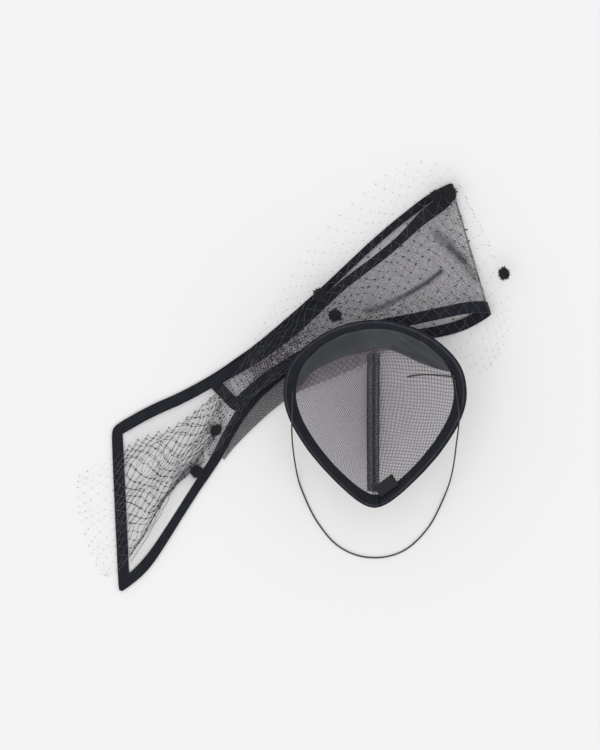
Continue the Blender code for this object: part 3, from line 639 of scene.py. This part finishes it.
bowLook = {
    "thick": 0.00025,
    "underBinding": 0.0036,  # how far the mesh reaches into the binding
    "tailCover": 0.068, "loopCover": 0.18, "backCover": 0.165, "waistCover": 0.4,
    "rollCover": 0.36, "rollUnderCap": 0.1,
    "rollFade": (-0.01, 0.02),
    "waist": 0.035,  # half length of the gathered part
    "waistWeave": (-0.03, 0.02, 0.055),  # its coarse weave along the bow: from, middle, half length
    "tailCorner": (-0.1495, -0.0485),
    # the lower edge under the cap, where the cloth thins out: start, end, how far
    "thin": ((-0.002, -0.0174), (0.0616, 0.0085), 0.016),
    "loopCoarse": 0.45,
    "foldHeight": 0.0026,  # what lies higher is the front layer
    "wave": (0.022, 0.0007),  # length and height of its unevenness
    "creases": [
        # start, end, half width, depth
        ((0.062, 0.048), (0.124, 0.0863), 0.0032, 0.0022),
        ((0.121, 0.12), (0.154, 0.079), 0.0042, 0.0016),
    ],
    # where the front layer's weave is coarse: start, end, half width
    "coarse": [((0.085, 0.042), (0.14, 0.065), 0.017), ((0.133, 0.142), (0.156, 0.085), 0.013)],
}
waistPlace = Vector((-0.026, -0.004))
bowAxis = Vector((0.8, 0.6))


def nearLine(point, start, end):
    # distance in plan to a line between two places, and how far along it the nearest place lies
    start = Vector(start)
    along = Vector(end) - start
    share = min(max((point - start).dot(along) / along.length_squared, 0.0), 1.0)
    return (point - start - along * share).length, share


def creaseDepth(look, co):
    depth = 0.0
    for start, end, wide, deep in look["creases"]:
        away, share = nearLine(co.xy, start, end)
        swell = math.sin(math.pi * (0.12 + 0.76 * share))  # shallow at both ends
        depth += math.exp(-((away / wide) ** 2)) * swell * deep
    return depth


def gatherAt(look, co):
    # 1 at the waist and 0 away from it, and how far a place lies on the loop's side, up to 1
    along = (co.xy - waistPlace).dot(bowAxis)
    blend = min(max(along / look["waist"] + 0.6, 0.0), 1.0)
    return math.exp(-((along / look["waist"]) ** 2)) * blend, blend


def bowCover(look, co):
    base = look["loopCover"] if co.z > look["foldHeight"] else look["backCover"]
    gather, blend = gatherAt(look, co)
    cover = look["tailCover"] * (1 - blend) + base * blend
    cover += (look["waistCover"] - cover) * gather
    start, end, wide = look["thin"]
    away, share = nearLine(co.xy, start, end)
    near = max(1 - away / wide, 0.0) if share > 0 else 0.0
    return cover * (1 - 0.8 * near)


def bowCoarse(look, co):
    patch = 0.0
    if co.z > look["foldHeight"]:
        patch = look["loopCoarse"] * gatherAt(look, co)[1]
        spots = [nearLine(co.xy, a, b)[0] / wide for a, b, wide in look["coarse"]]
        patch = patch + (1 - patch) * max(math.exp(-(spot**3)) for spot in spots)
    along = (co.xy - waistPlace).dot(bowAxis)
    start, middle, wide = look["waistWeave"]
    waist = math.exp(-(((along - middle) / wide) ** 2)) if along > start else 0.0
    return min(max(waist, patch), 1.0)


def addBowMesh(look):
    obj = clothSide("bow_mesh", "bowMesh", lambda f: -f.center.y if f.normal.z > 0.7 else -9.0)
    growRim(obj, look["underBinding"])
    corner = min(obj.data.vertices, key=lambda v: (v.co.xy - Vector(look["tailCorner"])).length)
    corner.co.xy = look["tailCorner"]
    clothUv(obj)
    subdivided(obj, 2)
    long, high = look["wave"]
    for vert in obj.data.vertices:
        if vert.co.z > look["foldHeight"]:
            vert.co.z -= creaseDepth(look, vert.co)
            vert.co.z += bumpy(vert.co, long) * high
    paint(obj, "coarse", lambda co: bowCoarse(look, co))
    return finishedCloth(obj, look["thick"], lambda co: bowCover(look, co), bowCloth, "mesh", "bow_mesh")


def marginCover(look, co):
    # thins out where the cap lies over it
    start, end = look["rollFade"]
    under = min(max((co.x - start) / (end - start), 0.0), 1.0)
    return look["rollCover"] * (1 - under) + look["rollUnderCap"] * under


def addRolledMargin(look):
    obj = clothSide("rolled_margin", "rolledMargin", lambda f: f.center.z if f.normal.z > 0.5 else -9.0, 60)
    clothUv(obj)
    subdivided(obj, 2)
    cover = lambda co: marginCover(look, co)
    return finishedCloth(obj, look["thick"], cover, rollCloth, "mesh", "rolled_margin")


bindingLook = {
    "round": 0.00085,
    # length and height of the pile's unevenness
    "lumps": [(0.014, 0.00016), (0.003, 0.00007)],
}


def rimDistance(obj):
    # distance in plan from the outer edge of a closed band
    spots = [vert.co.xy for vert in obj.data.vertices]
    edge = [spots[k] for k in geometry.convex_hull_2d(spots)]
    lines = list(zip(edge, edge[1:] + edge[:1]))
    return lambda co: min(nearLine(co.xy, a, b)[0] for a, b in lines)


tailBand = {
    # the inner edge of the tail's lower band, and how much narrower the band gets in the middle of it
    "path": [(-0.1413, -0.17), (-0.1254, -0.153), (-0.1084, -0.1254), (-0.0935, -0.0999), (-0.085, -0.0871),
             (-0.0723, -0.068), (-0.051, -0.0327)],
    "reach": 0.01,
    "by": 0.0026,
}
gapEnd = {
    # the upper edge of the loop's front band, where it closes the gap to the back one
    "path": [(0.091, 0.1185), (0.1079, 0.1324), (0.1206, 0.1451), (0.127, 0.1494)],
    "reach": 0.0045,
    "by": -0.0042,
}


def narrowed(obj, look):
    # draws a band's edge sideways along a path, most in the middle of it
    path = [Vector(spot) for spot in look["path"]]
    steps = list(zip(path, path[1:]))
    for vert in obj.data.vertices:
        spots = [nearLine(vert.co.xy, a, b) for a, b in steps]
        k = min(range(len(steps)), key=lambda n: spots[n][0])
        away, share = spots[k]
        if away < look["reach"]:
            way = steps[k][1] - steps[k][0]
            across = Vector((way.y, -way.x)).normalized()
            taper = math.sin(math.pi * (k + share) / len(steps))
            vert.co.xy += across * look["by"] * taper * (1 - away / look["reach"])


def addBinding(node, name, look, mat, slim=()):
    # a velvet band folded round an edge: rounded sides and a slightly uneven pile
    obj = nodeCopy(node, name)
    for part in slim:
        narrowed(obj, part)
    rounded(obj, look["round"], 3)
    mesh = obj.data
    normals = [v.normal.copy() for v in mesh.vertices]
    for vert, normal in zip(mesh.vertices, normals):
        vert.co += normal * sum(bumpy(vert.co, long) * high for long, high in look["lumps"])
        vert.co.z = max(vert.co.z, 0.0)
    mesh.shade_smooth()
    finished(obj, mat, "velvet", node)
    return obj


bowSheet = addBowMesh(bowLook)
rollSheet = addRolledMargin(bowLook)
addBinding("bow_binding", "bowBinding", bindingLook, velvet, [tailBand, gapEnd])
print("bow made")

# Cap: two mesh halves, binding, satin band, seam tape and label

capLook = {"thick": 0.00025, "underBinding": 0.003, "rightCover": 0.41, "leftCover": 0.46}


def addCapHalf(node, name, mat, cover, look):
    obj = clothSide(node, name)
    growRim(obj, look["underBinding"])
    clothUv(obj)
    subdivided(obj, 2)
    finishedCloth(obj, look["thick"], lambda co: cover, mat, "mesh", node)


bandLook = {
    "thick": 0.0004, "underBinding": 0.0022,
    "near": 0.0022,  # only the edge that lies this near the binding goes into it
    "rippleLong": 0.018, "ripple": 0.0005, "rise": 0.0006,
}


def addInnerBand(look):
    obj = clothSide("inner_band", "innerBand")
    growRim(obj, look["underBinding"], treeOf("cap_binding"), look["near"])
    clothUv(obj)
    subdivided(obj, 3)
    normals = [v.normal.copy() for v in obj.data.vertices]
    for vert, normal in zip(obj.data.vertices, normals):
        wave = bumpy(vert.co, look["rippleLong"], 3.7)
        vert.co += normal * (look["rise"] * abs(wave) + look["ripple"] * max(wave, 0.0))
    applied(obj, "SOLIDIFY", thickness=look["thick"], offset=0.0)
    obj.data.shade_smooth()
    finished(obj, satin, "satin", "inner_band")


tapeLook = {
    "thick": 0.0003, "cover": 0.95,
    "shift": 0.0005,  # of its middle line, in X
    "edge": 0.0004,  # how far in the painted shade at the edges lies
    "lineWide": 0.0012, "paintedTapeShade": (0.008, 0.008, 0.01),
    "stitches": 46,
    "inset": 0.23,  # from the middle line, as a share of the tape's width
    "span": (0.07, 0.96),  # where the rows start and end, as shares of its length
    "stitchLong": 0.0016, "stitchWide": 0.00055,
    "loose": 0.25,  # how far a stitch strays along its row, and how much it leans
    "lean": 0.9,
    "sunk": 0.0002,
}


def tapeFinish(look):
    # loose dark weave with painted shade down a groove in the middle and along the edges
    low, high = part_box("seam_tape")
    middle = (low.x + high.x) / 2 + look["shift"]
    tints = []
    for x in (middle, low.x + look["edge"], high.x - look["edge"]):
        tints.append((((x, low.y), (x, high.y)), look["lineWide"], 0.2, look["paintedTapeShade"], 0.9))
    return meshFinish(
        "meshTape",
        {"dark": (0.014, 0.014, 0.017), "light": (0.085, 0.083, 0.092), "turn": 0.3,
         "weave": (0.0016, 1.0, 0.3, 0.75), "grain": 620.0, "drift": (0.004, 60.0), "tints": tints},
    )


def addTape(look):
    obj = clothSide("seam_tape", "seamTape")
    clothUv(obj)
    subdivided(obj, 2)
    finishedCloth(obj, look["thick"], lambda co: look["cover"], tapeFinish(look), "tape", "seam_tape")


def joined(objects, name):
    bpy.ops.object.select_all(action="DESELECT")
    for obj in objects:
        obj.select_set(True)
    bpy.context.view_layer.objects.active = objects[0]
    bpy.ops.object.join()
    obj = bpy.context.object
    obj.name = obj.data.name = name
    return obj


def stitchShape(long, wide):
    # one stitch along X: a thread that rises out of the cloth and dips back in
    bpy.ops.mesh.primitive_cylinder_add(
        vertices=6, radius=wide / 2, depth=long, rotation=(0, math.pi / 2, 0), end_fill_type="TRIFAN"
    )
    obj = bpy.context.object
    bpy.ops.object.transform_apply(location=True, rotation=True, scale=True)
    editAll(obj)
    bpy.ops.mesh.bisect(plane_co=(0, 0, 0), plane_no=(1, 0, 0))
    leaveEdit()
    for vert in obj.data.vertices:
        reach = min(abs(vert.co.x) / (long / 2), 1.0)
        vert.co.z -= wide * 0.9 * reach**2
    obj.data.shade_smooth()
    return obj


def addTapeStitches(look):
    # two rows down the tape, each stitch set on its surface
    tree = treeOf("seam_tape")
    low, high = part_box("seam_tape")
    start, end = look["span"]
    first = stitchShape(look["stitchLong"], look["stitchWide"])
    randomly = random.Random(3)
    copies = []
    for row in (-1, 1):
        for k in range(look["stitches"]):
            stray = randomly.uniform(-look["loose"], look["loose"])
            share = start + (end - start) * (k + 0.5 + stray) / look["stitches"]
            y = low.y + (high.y - low.y) * share
            x = (low.x + high.x) / 2 + look["shift"] + row * (high.x - low.x) * look["inset"]
            hit, normal = meets(tree, x, y)
            if hit:
                along = Vector((randomly.uniform(-look["lean"], look["lean"]), 1.0, 0.0)).normalized()
                side = normal.cross(along).normalized()
                ahead = side.cross(normal).normalized()
                turn = Matrix((ahead, side, normal)).transposed().to_4x4()
                copy = linked("tapeStitches", first.data.copy())
                copy.data.transform(Matrix.Translation(hit - normal * look["sunk"]) @ turn)
                copies.append(copy)
    bpy.data.objects.remove(first)
    finished(joined(copies, "tapeStitches"), sewingThread, "tape")


labelLook = {"round": 0.00025}


def addLabel(look):
    obj = nodeCopy("label", "labelTab")
    clothUv(obj)
    rounded(obj, look["round"], 2)
    finished(obj, labelCloth, "tape", "label")


addCapHalf("cap_right", "capRight", rightCloth, capLook["rightCover"], capLook)
addCapHalf("cap_left", "capLeft", leftCloth, capLook["leftCover"], capLook)
capBinding = addBinding("cap_binding", "capBinding", bindingLook, rimVelvet)
paint(capBinding, "rim", rimDistance(capBinding))
addInnerBand(bandLook)
addTape(tapeLook)
addTapeStitches(tapeLook)
addLabel(labelLook)
print("cap made")

# Veil: a diamond net draped over the bow and gathered at the waist, with a second layer over the tail

veilLook = {
    "bowWide": 0.323, "bowLong": 0.3464, "middleX": 0.4842, "middleY": 0.5362,
    "rows": [
        # shares of the bow's width and length: top x, top y, middle x, middle y, low x, low y
        (-0.076, 0.299, -0.082, 0.187, -0.018, 0.022),
        (0.003, 0.331, -0.008, 0.174, 0.024, 0.039),
        (0.079, 0.379, 0.071, 0.243, 0.079, 0.123),
        (0.176, 0.417, 0.166, 0.321, 0.161, 0.248),
        (0.263, 0.476, 0.272, 0.415, 0.29, 0.352),
        (0.329, 0.537, 0.347, 0.501, 0.371, 0.471),
        (0.384, 0.623, 0.418, 0.562, 0.445, 0.525),
        (0.461, 0.741, 0.497, 0.628, 0.529, 0.567),
        (0.547, 0.861, 0.608, 0.702, 0.634, 0.609),
        (0.679, 0.984, 0.739, 0.775, 0.766, 0.633),
        (0.779, 1.055, 0.861, 0.807, 0.887, 0.587),
        (0.884, 1.043, 0.966, 0.807, 0.971, 0.533),
        (0.916, 0.979, 1.039, 0.739, 1.008, 0.562),
    ],
    "along": 40, "across": 13,
    # the second layer, over the tail: cells along and across, from and to along and across, noise seed
    "second": (11, 9, (0.07, 0.35, 0.02, 0.66), 20.0),
    "cell": 0.008,  # how wide a cell is while the net lies free
    "knee": 0.86,  # the lower rows bunch up past this share of the width
    "thread": 0.00032, "knot": 0.00072,
    "kneeRows": (0.35, 0.1),  # where along the net the bunching ends, and over what share of it
    # how far the cells wander and over what length, slowly and from cell to cell
    "drift": (0.0034, 0.03),
    "jitter": (0.0022, 0.009),
    "sway": (0.016, 3.4, 1.3),  # how far the rows crowd, and how often across and along
    "slope": 0.75,  # how steeply the net falls away from what holds it up
    "reach": 0.019,  # how far it stays up beyond that
    "step": 0.0045,  # between the places that are looked at for it
    "lift": 0.0009,
    # sizes of threads and knots as shares: beyond the bow, on its velvet, over the loop, over the tail
    "threadShares": {"outside": 0.1, "velvet": 1.05, "loop": 1.2, "tail": 1.05},
    "knotShares": {"outside": 0.48, "velvet": 0.4, "loop": 1.3, "tail": 1.0},
    "underCap": 0.0007,
    # the lower edge over the tail, bunched into a few strands
    "bunch": [(-0.056, -0.042), (-0.0893, -0.0735), (-0.1097, -0.1084), (-0.119, -0.1271),
              (-0.1411, -0.1602)],
    "bunchOff": (-0.0015, 0.0017),
    "bunchSteps": 18,
    "bunchWander": (0.003, 0.014),
    "bunchThick": 1.3,  # times a thread
    # of each knot: turn, length and width from and to, height as a share of the width
    "knotSpread": ((-0.5, 0.8), (0.9, 1.9), (0.55, 0.95), 0.8),
}


def highPlaces(look, nodes):
    # what holds the net up, as an array of points
    tree = treeOf(*nodes)
    low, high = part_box(nodes[0])
    step = look["step"]
    places = []
    for i in range(int((high.x - low.x) / step) + 2):
        for j in range(int((high.y - low.y) / step) + 2):
            x, y = low.x + i * step, low.y + j * step
            hit = meets(tree, x, y)[0]
            if hit:
                places.append((x, y, hit.z))
    return np.array(places), tree


def evenShare(look, u, steps=240):
    # the share of the rows at which the middle line has gone a share of its length
    rows = [curveAt(look["rows"], k / steps) for k in range(steps + 1)]
    x = np.array([row[2] for row in rows]) * look["bowWide"]
    y = np.array([row[3] for row in rows]) * look["bowLong"]
    gone = np.concatenate([[0.0], np.cumsum(np.hypot(np.diff(x), np.diff(y)))])
    return float(np.interp(u * gone[-1], gone, np.linspace(0.0, 1.0, steps + 1)))


def netPlace(look, u, v, seed):
    # the plan place of a point of the net, its cells a little uneven
    far, across, along = look["sway"]
    v = v + far * math.sin(2 * math.pi * (across * v + along * u + seed))
    row = evenShare(look, u)
    ax, ay, bx, by, cx, cy = curveAt(look["rows"], row)
    wide = math.hypot((ax - cx) * look["bowWide"], (ay - cy) * look["bowLong"])
    free = v * look["cell"] * look["across"] / wide
    knee = look["knee"]
    if free > knee:
        free = knee + (1 - knee) * (1 - math.exp((knee - free) / (1 - knee)))
    last, over = look["kneeRows"]
    blend = min(max((last - row) / over, 0.0), 1.0)
    v = v + (min(free, 1.0) - v) * blend
    # a parabola through the top, middle and low place
    a = (1 - v) * (1 - 2 * v)
    b = 4 * v * (1 - v)
    c = v * (2 * v - 1)
    x = (ax * a + bx * b + cx * c - look["middleX"]) * look["bowWide"]
    y = (ay * a + by * b + cy * c - look["middleY"]) * look["bowLong"]
    place = Vector((x, y, 0.0))
    inside = min(8 * v * (1 - v), 8 * u * (1 - u), 1.0)
    drift, driftLong = look["drift"]
    jitter, jitterLong = look["jitter"]
    moves = []
    for slow, quick in ((2.0, 5.0), (7.0, 11.0)):
        move = drift * bumpy(place, driftLong, slow + seed)
        moves.append(inside * (move + jitter * bumpy(place, jitterLong, quick + seed)))
    return x + moves[0], y + moves[1]


def netHeight(look, x, y, places, capTree):
    away = np.hypot(places[:, 0] - x, places[:, 1] - y)
    height = float(np.max(places[:, 2] - look["slope"] * np.maximum(away - look["reach"], 0.0)))
    z = max(height, 0.0) + look["lift"]
    roof = capTree.ray_cast(Vector((x, y, 0.0)), Vector((0, 0, 1)))[0]
    return min(z, roof.z - look["underCap"]) if roof else z


def netZone(x, y, bowTree, bandTree):
    if not meets(bowTree, x, y)[0]:
        return "outside"
    if meets(bandTree, x, y)[0]:
        return "velvet"
    return "tail" if x < waistPlace.x else "loop"


def addNet(look, layer, places, bowTree, bandTree, capTree):
    along, across, (startU, endU, startV, endV), seed = layer
    bpy.ops.mesh.primitive_grid_add(x_subdivisions=along, y_subdivisions=across, size=1.0)
    obj = bpy.context.object
    editAll(obj)
    bpy.ops.mesh.poke()
    leaveEdit()
    corners = (along + 1) * (across + 1)
    bm = bmesh.new()
    bm.from_mesh(obj.data)
    square = [e for e in bm.edges if len(e.link_faces) == 2 and all(v.index < corners for v in e.verts)]
    bmesh.ops.dissolve_edges(bm, edges=square, use_verts=False)
    bmesh.ops.delete(bm, geom=[f for f in bm.faces if len(f.verts) == 3], context="FACES")
    bm.verts.index_update()
    knots = len(bm.verts)
    bmesh.ops.bisect_edges(bm, edges=bm.edges[:], cuts=2)
    bm.to_mesh(obj.data)
    bm.free()
    group = obj.vertex_groups.new(name="size")
    knotPlaces = []
    for vert in obj.data.vertices:
        u = startU + (endU - startU) * (vert.co.x + 0.5)
        v = startV + (endV - startV) * (0.5 - vert.co.y)
        x, y = netPlace(look, u, v, seed)
        vert.co = (x, y, netHeight(look, x, y, places, capTree))
        zone = netZone(x, y, bowTree, bandTree)
        group.add([vert.index], look["threadShares"][zone], "REPLACE")
        if vert.index < knots:
            knotPlaces.append((vert.co.copy(), look["knotShares"][zone]))
    applied(
        obj, "WIREFRAME", thickness=look["thread"], use_replace=True, use_boundary=True,
        use_even_offset=False, use_relative_offset=False, vertex_group="size", thickness_vertex_group=0.0,
    )
    return obj, knotPlaces


def addBunch(look, places, capTree):
    # the strands of the lower edge, which wander over one another
    copies = []
    steps = look["bunchSteps"]
    far, long = look["bunchWander"]
    for k, off in enumerate(look["bunchOff"]):
        route = []
        for n in range(steps + 1):
            x, y = curveAt(look["bunch"], n / steps)
            spot = Vector((x, y, 0.0))
            x += (off + far * bumpy(spot, long, 3.0 * k)) * 0.85
            y += (-off + far * bumpy(spot, long, 9.0 + 3.0 * k)) * 0.5
            route.append((x, y, netHeight(look, x, y, places, capTree) + 0.0002 * (k - 1.5)))
        strand = cordCurve(f"veilStrand{k}", route, look["thread"] * look["bunchThick"], 5 * steps)
        only(strand)
        bpy.ops.object.convert(target="MESH")
        copies.append(bpy.context.object)
    return copies


def addVeil(look):
    places, bowTree = highPlaces(look, ["bow_binding", "bow_mesh", "rolled_margin"])
    bandTree = treeOf("bow_binding")
    capTree = treeOf("cap_binding", "cap_left", "cap_right")
    layers = [(look["along"], look["across"], (0.0, 1.0, 0.0, 1.0), 0.0), look["second"]]
    nets, spots = zip(*[addNet(look, layer, places, bowTree, bandTree, capTree) for layer in layers])
    veil = joined([*nets, *addBunch(look, places, capTree)], "veilThreads")
    veil.data.shade_smooth()
    finished(veil, netThread, "net", "veil")
    bpy.ops.mesh.primitive_ico_sphere_add(subdivisions=1, radius=look["knot"])
    knots = bpy.context.object
    shape = knots.data
    knots.name = shape.name = "veilKnots"
    bm = bmesh.new()
    randomly = random.Random(7)
    turns, longs, wides, high = look["knotSpread"]
    for point, size in spots[0] + spots[1]:
        turn = Matrix.Rotation(randomly.uniform(*turns), 4, "Z")
        long = size * randomly.uniform(*longs)
        wide = size * randomly.uniform(*wides)
        start = len(bm.verts)
        bm.from_mesh(shape)
        bm.verts.ensure_lookup_table()
        scale = Matrix.Diagonal((long, wide, wide * high, 1.0))
        bmesh.ops.transform(bm, matrix=Matrix.Translation(point) @ turn @ scale, verts=bm.verts[start:])
    bm.to_mesh(shape)  # the copies take the place of the one shape
    bm.free()
    shape.shade_smooth()
    finished(knots, knotThread, "net")


addVeil(veilLook)
print("veil made")

# Soft dots on the veil

dotLook = {
    "count": 7,
    "wide": 0.0105,  # of the dot that the tufts are measured for
    "tufts": 480, "tuftLong": 0.0026, "tuftWide": 0.00034,
    "tuftShares": (0.35, 1.25),  # shortest and longest, as shares of that
    "lean": 0.6, "core": 0.66,
    "ragged": (0.26, 0.55),  # how far the outline strays, and over what share of the dot
    # size as a share of the solid's, from and to in X and in Y, and in Z
    "stretch": ((1.0, 1.14), (0.92, 1.05), 1.05),
}


def dotShape(look):
    # a ball of unit width stuck all over with uneven tufts
    radius = 0.5 * look["core"]
    bpy.ops.mesh.primitive_uv_sphere_add(segments=20, ring_count=12, radius=radius)
    obj = bpy.context.object
    bm = bmesh.new()
    bm.from_mesh(obj.data)
    randomly = random.Random(11)
    golden = math.pi * (3 - math.sqrt(5))
    wide = look["tuftWide"] / look["wide"]
    for k in range(look["tufts"]):
        z = 1 - 2 * (k + 0.5) / look["tufts"]
        ring = math.sqrt(1 - z * z)
        out = Vector((ring * math.cos(golden * k), ring * math.sin(golden * k), z))
        lean = Vector([randomly.uniform(-look["lean"], look["lean"]) for axis in range(3)])
        way = (out + lean).normalized()
        long = look["tuftLong"] / look["wide"] * randomly.uniform(*look["tuftShares"])
        turn = way.to_track_quat("Z", "Y").to_matrix().to_4x4()
        start = out * radius * 0.95  # a little below the ball's surface
        place = Matrix.Translation(start + way * long / 2) @ turn
        bmesh.ops.create_cone(
            bm, cap_ends=True, segments=4, radius1=wide, radius2=wide * 0.3, depth=long, matrix=place
        )
    bm.to_mesh(obj.data)
    bm.free()
    return obj


def addDots(look):
    first = dotShape(look)
    randomly = random.Random(5)
    ragged, raggedLong = look["ragged"]
    spanX, spanY, shareZ = look["stretch"]
    for k in range(1, look["count"] + 1):
        node = f"chenille_dot_{k}"
        low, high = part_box(node)
        copy = linked(f"chenilleDot{k}", first.data.copy())
        size = high - low
        x, y = size.x * randomly.uniform(*spanX), size.y * randomly.uniform(*spanY)
        stretch = Matrix.Diagonal((x, y, size.z * shareZ, 1.0))
        spin = Matrix.Rotation(randomly.uniform(0, math.pi), 4, "Z")
        for vert in copy.data.vertices:
            vert.co *= 1.0 + ragged * bumpy(vert.co.normalized(), raggedLong, 4.0 * k)
        copy.data.transform(Matrix.Translation((low + high) / 2) @ spin @ stretch)
        for vert in copy.data.vertices:
            vert.co.z = max(vert.co.z, low.z * 0.5)  # flat where the dot lies down
        finished(copy, chenille, "chenille", node)
    bpy.data.objects.remove(first)


addDots(dotLook)
print("dots made")

# Flat size of the bow's two mesh cloths, worked out from their maps


def flatSize(obj):
    # the smallest rectangle that the cloth can be cut from, read off its flattened map
    spots = [Vector(corner.uv) for corner in obj.data.uv_layers.active.data]
    turn = Matrix.Rotation(geometry.box_fit_2d(spots), 2)
    turned = [turn @ spot for spot in spots]
    sides = [max(spot[k] for spot in turned) - min(spot[k] for spot in turned) for k in range(2)]
    return min(sides), max(sides)


flatSize(bowSheet)
flatSize(rollSheet)

# Table and light

roomLook = {
    "floor": (0.773, 0.773, 0.773),
    "floorLight": 1.01,  # the lighter spots of its grain
    "grain": 400.0,
    "sky": 1.0, "sun": 0.6, "sunAngle": 60.0, "sunTilt": (28.0, -14.0),
}


def addRoom(look):
    bpy.ops.mesh.primitive_plane_add(size=6.0)
    floor = bpy.context.object
    floor.name = "table"
    mat, shader = newMaterial("paleTable", look["floor"], 0.9, {"Specular IOR Level": 0.0})
    grain = speckle(mat, objectPlace(mat), look["grain"], 2.0)
    toned(mat, shader, grain, look["floor"], tuple(c * look["floorLight"] for c in look["floor"]))
    floor.data.materials.append(mat)
    world = bpy.context.scene.world or bpy.data.worlds.new("studio")
    bpy.context.scene.world = world
    world.use_nodes = True
    sky = world.node_tree.nodes["Background"]
    sky.inputs["Color"].default_value = (1.0, 1.0, 1.0, 1.0)
    sky.inputs["Strength"].default_value = look["sky"]
    tilt = [math.radians(a) for a in look["sunTilt"]]
    bpy.ops.object.light_add(type="SUN", location=(0, 0, 3), rotation=(tilt[0], tilt[1], 0))
    sun = bpy.context.object.data
    sun.energy = look["sun"]
    sun.angle = math.radians(look["sunAngle"])
    bpy.context.scene.view_settings.view_transform = "Standard"
    bpy.context.scene.cycles.transparent_max_bounces = 32


addRoom(roomLook)
print("table and light ready")
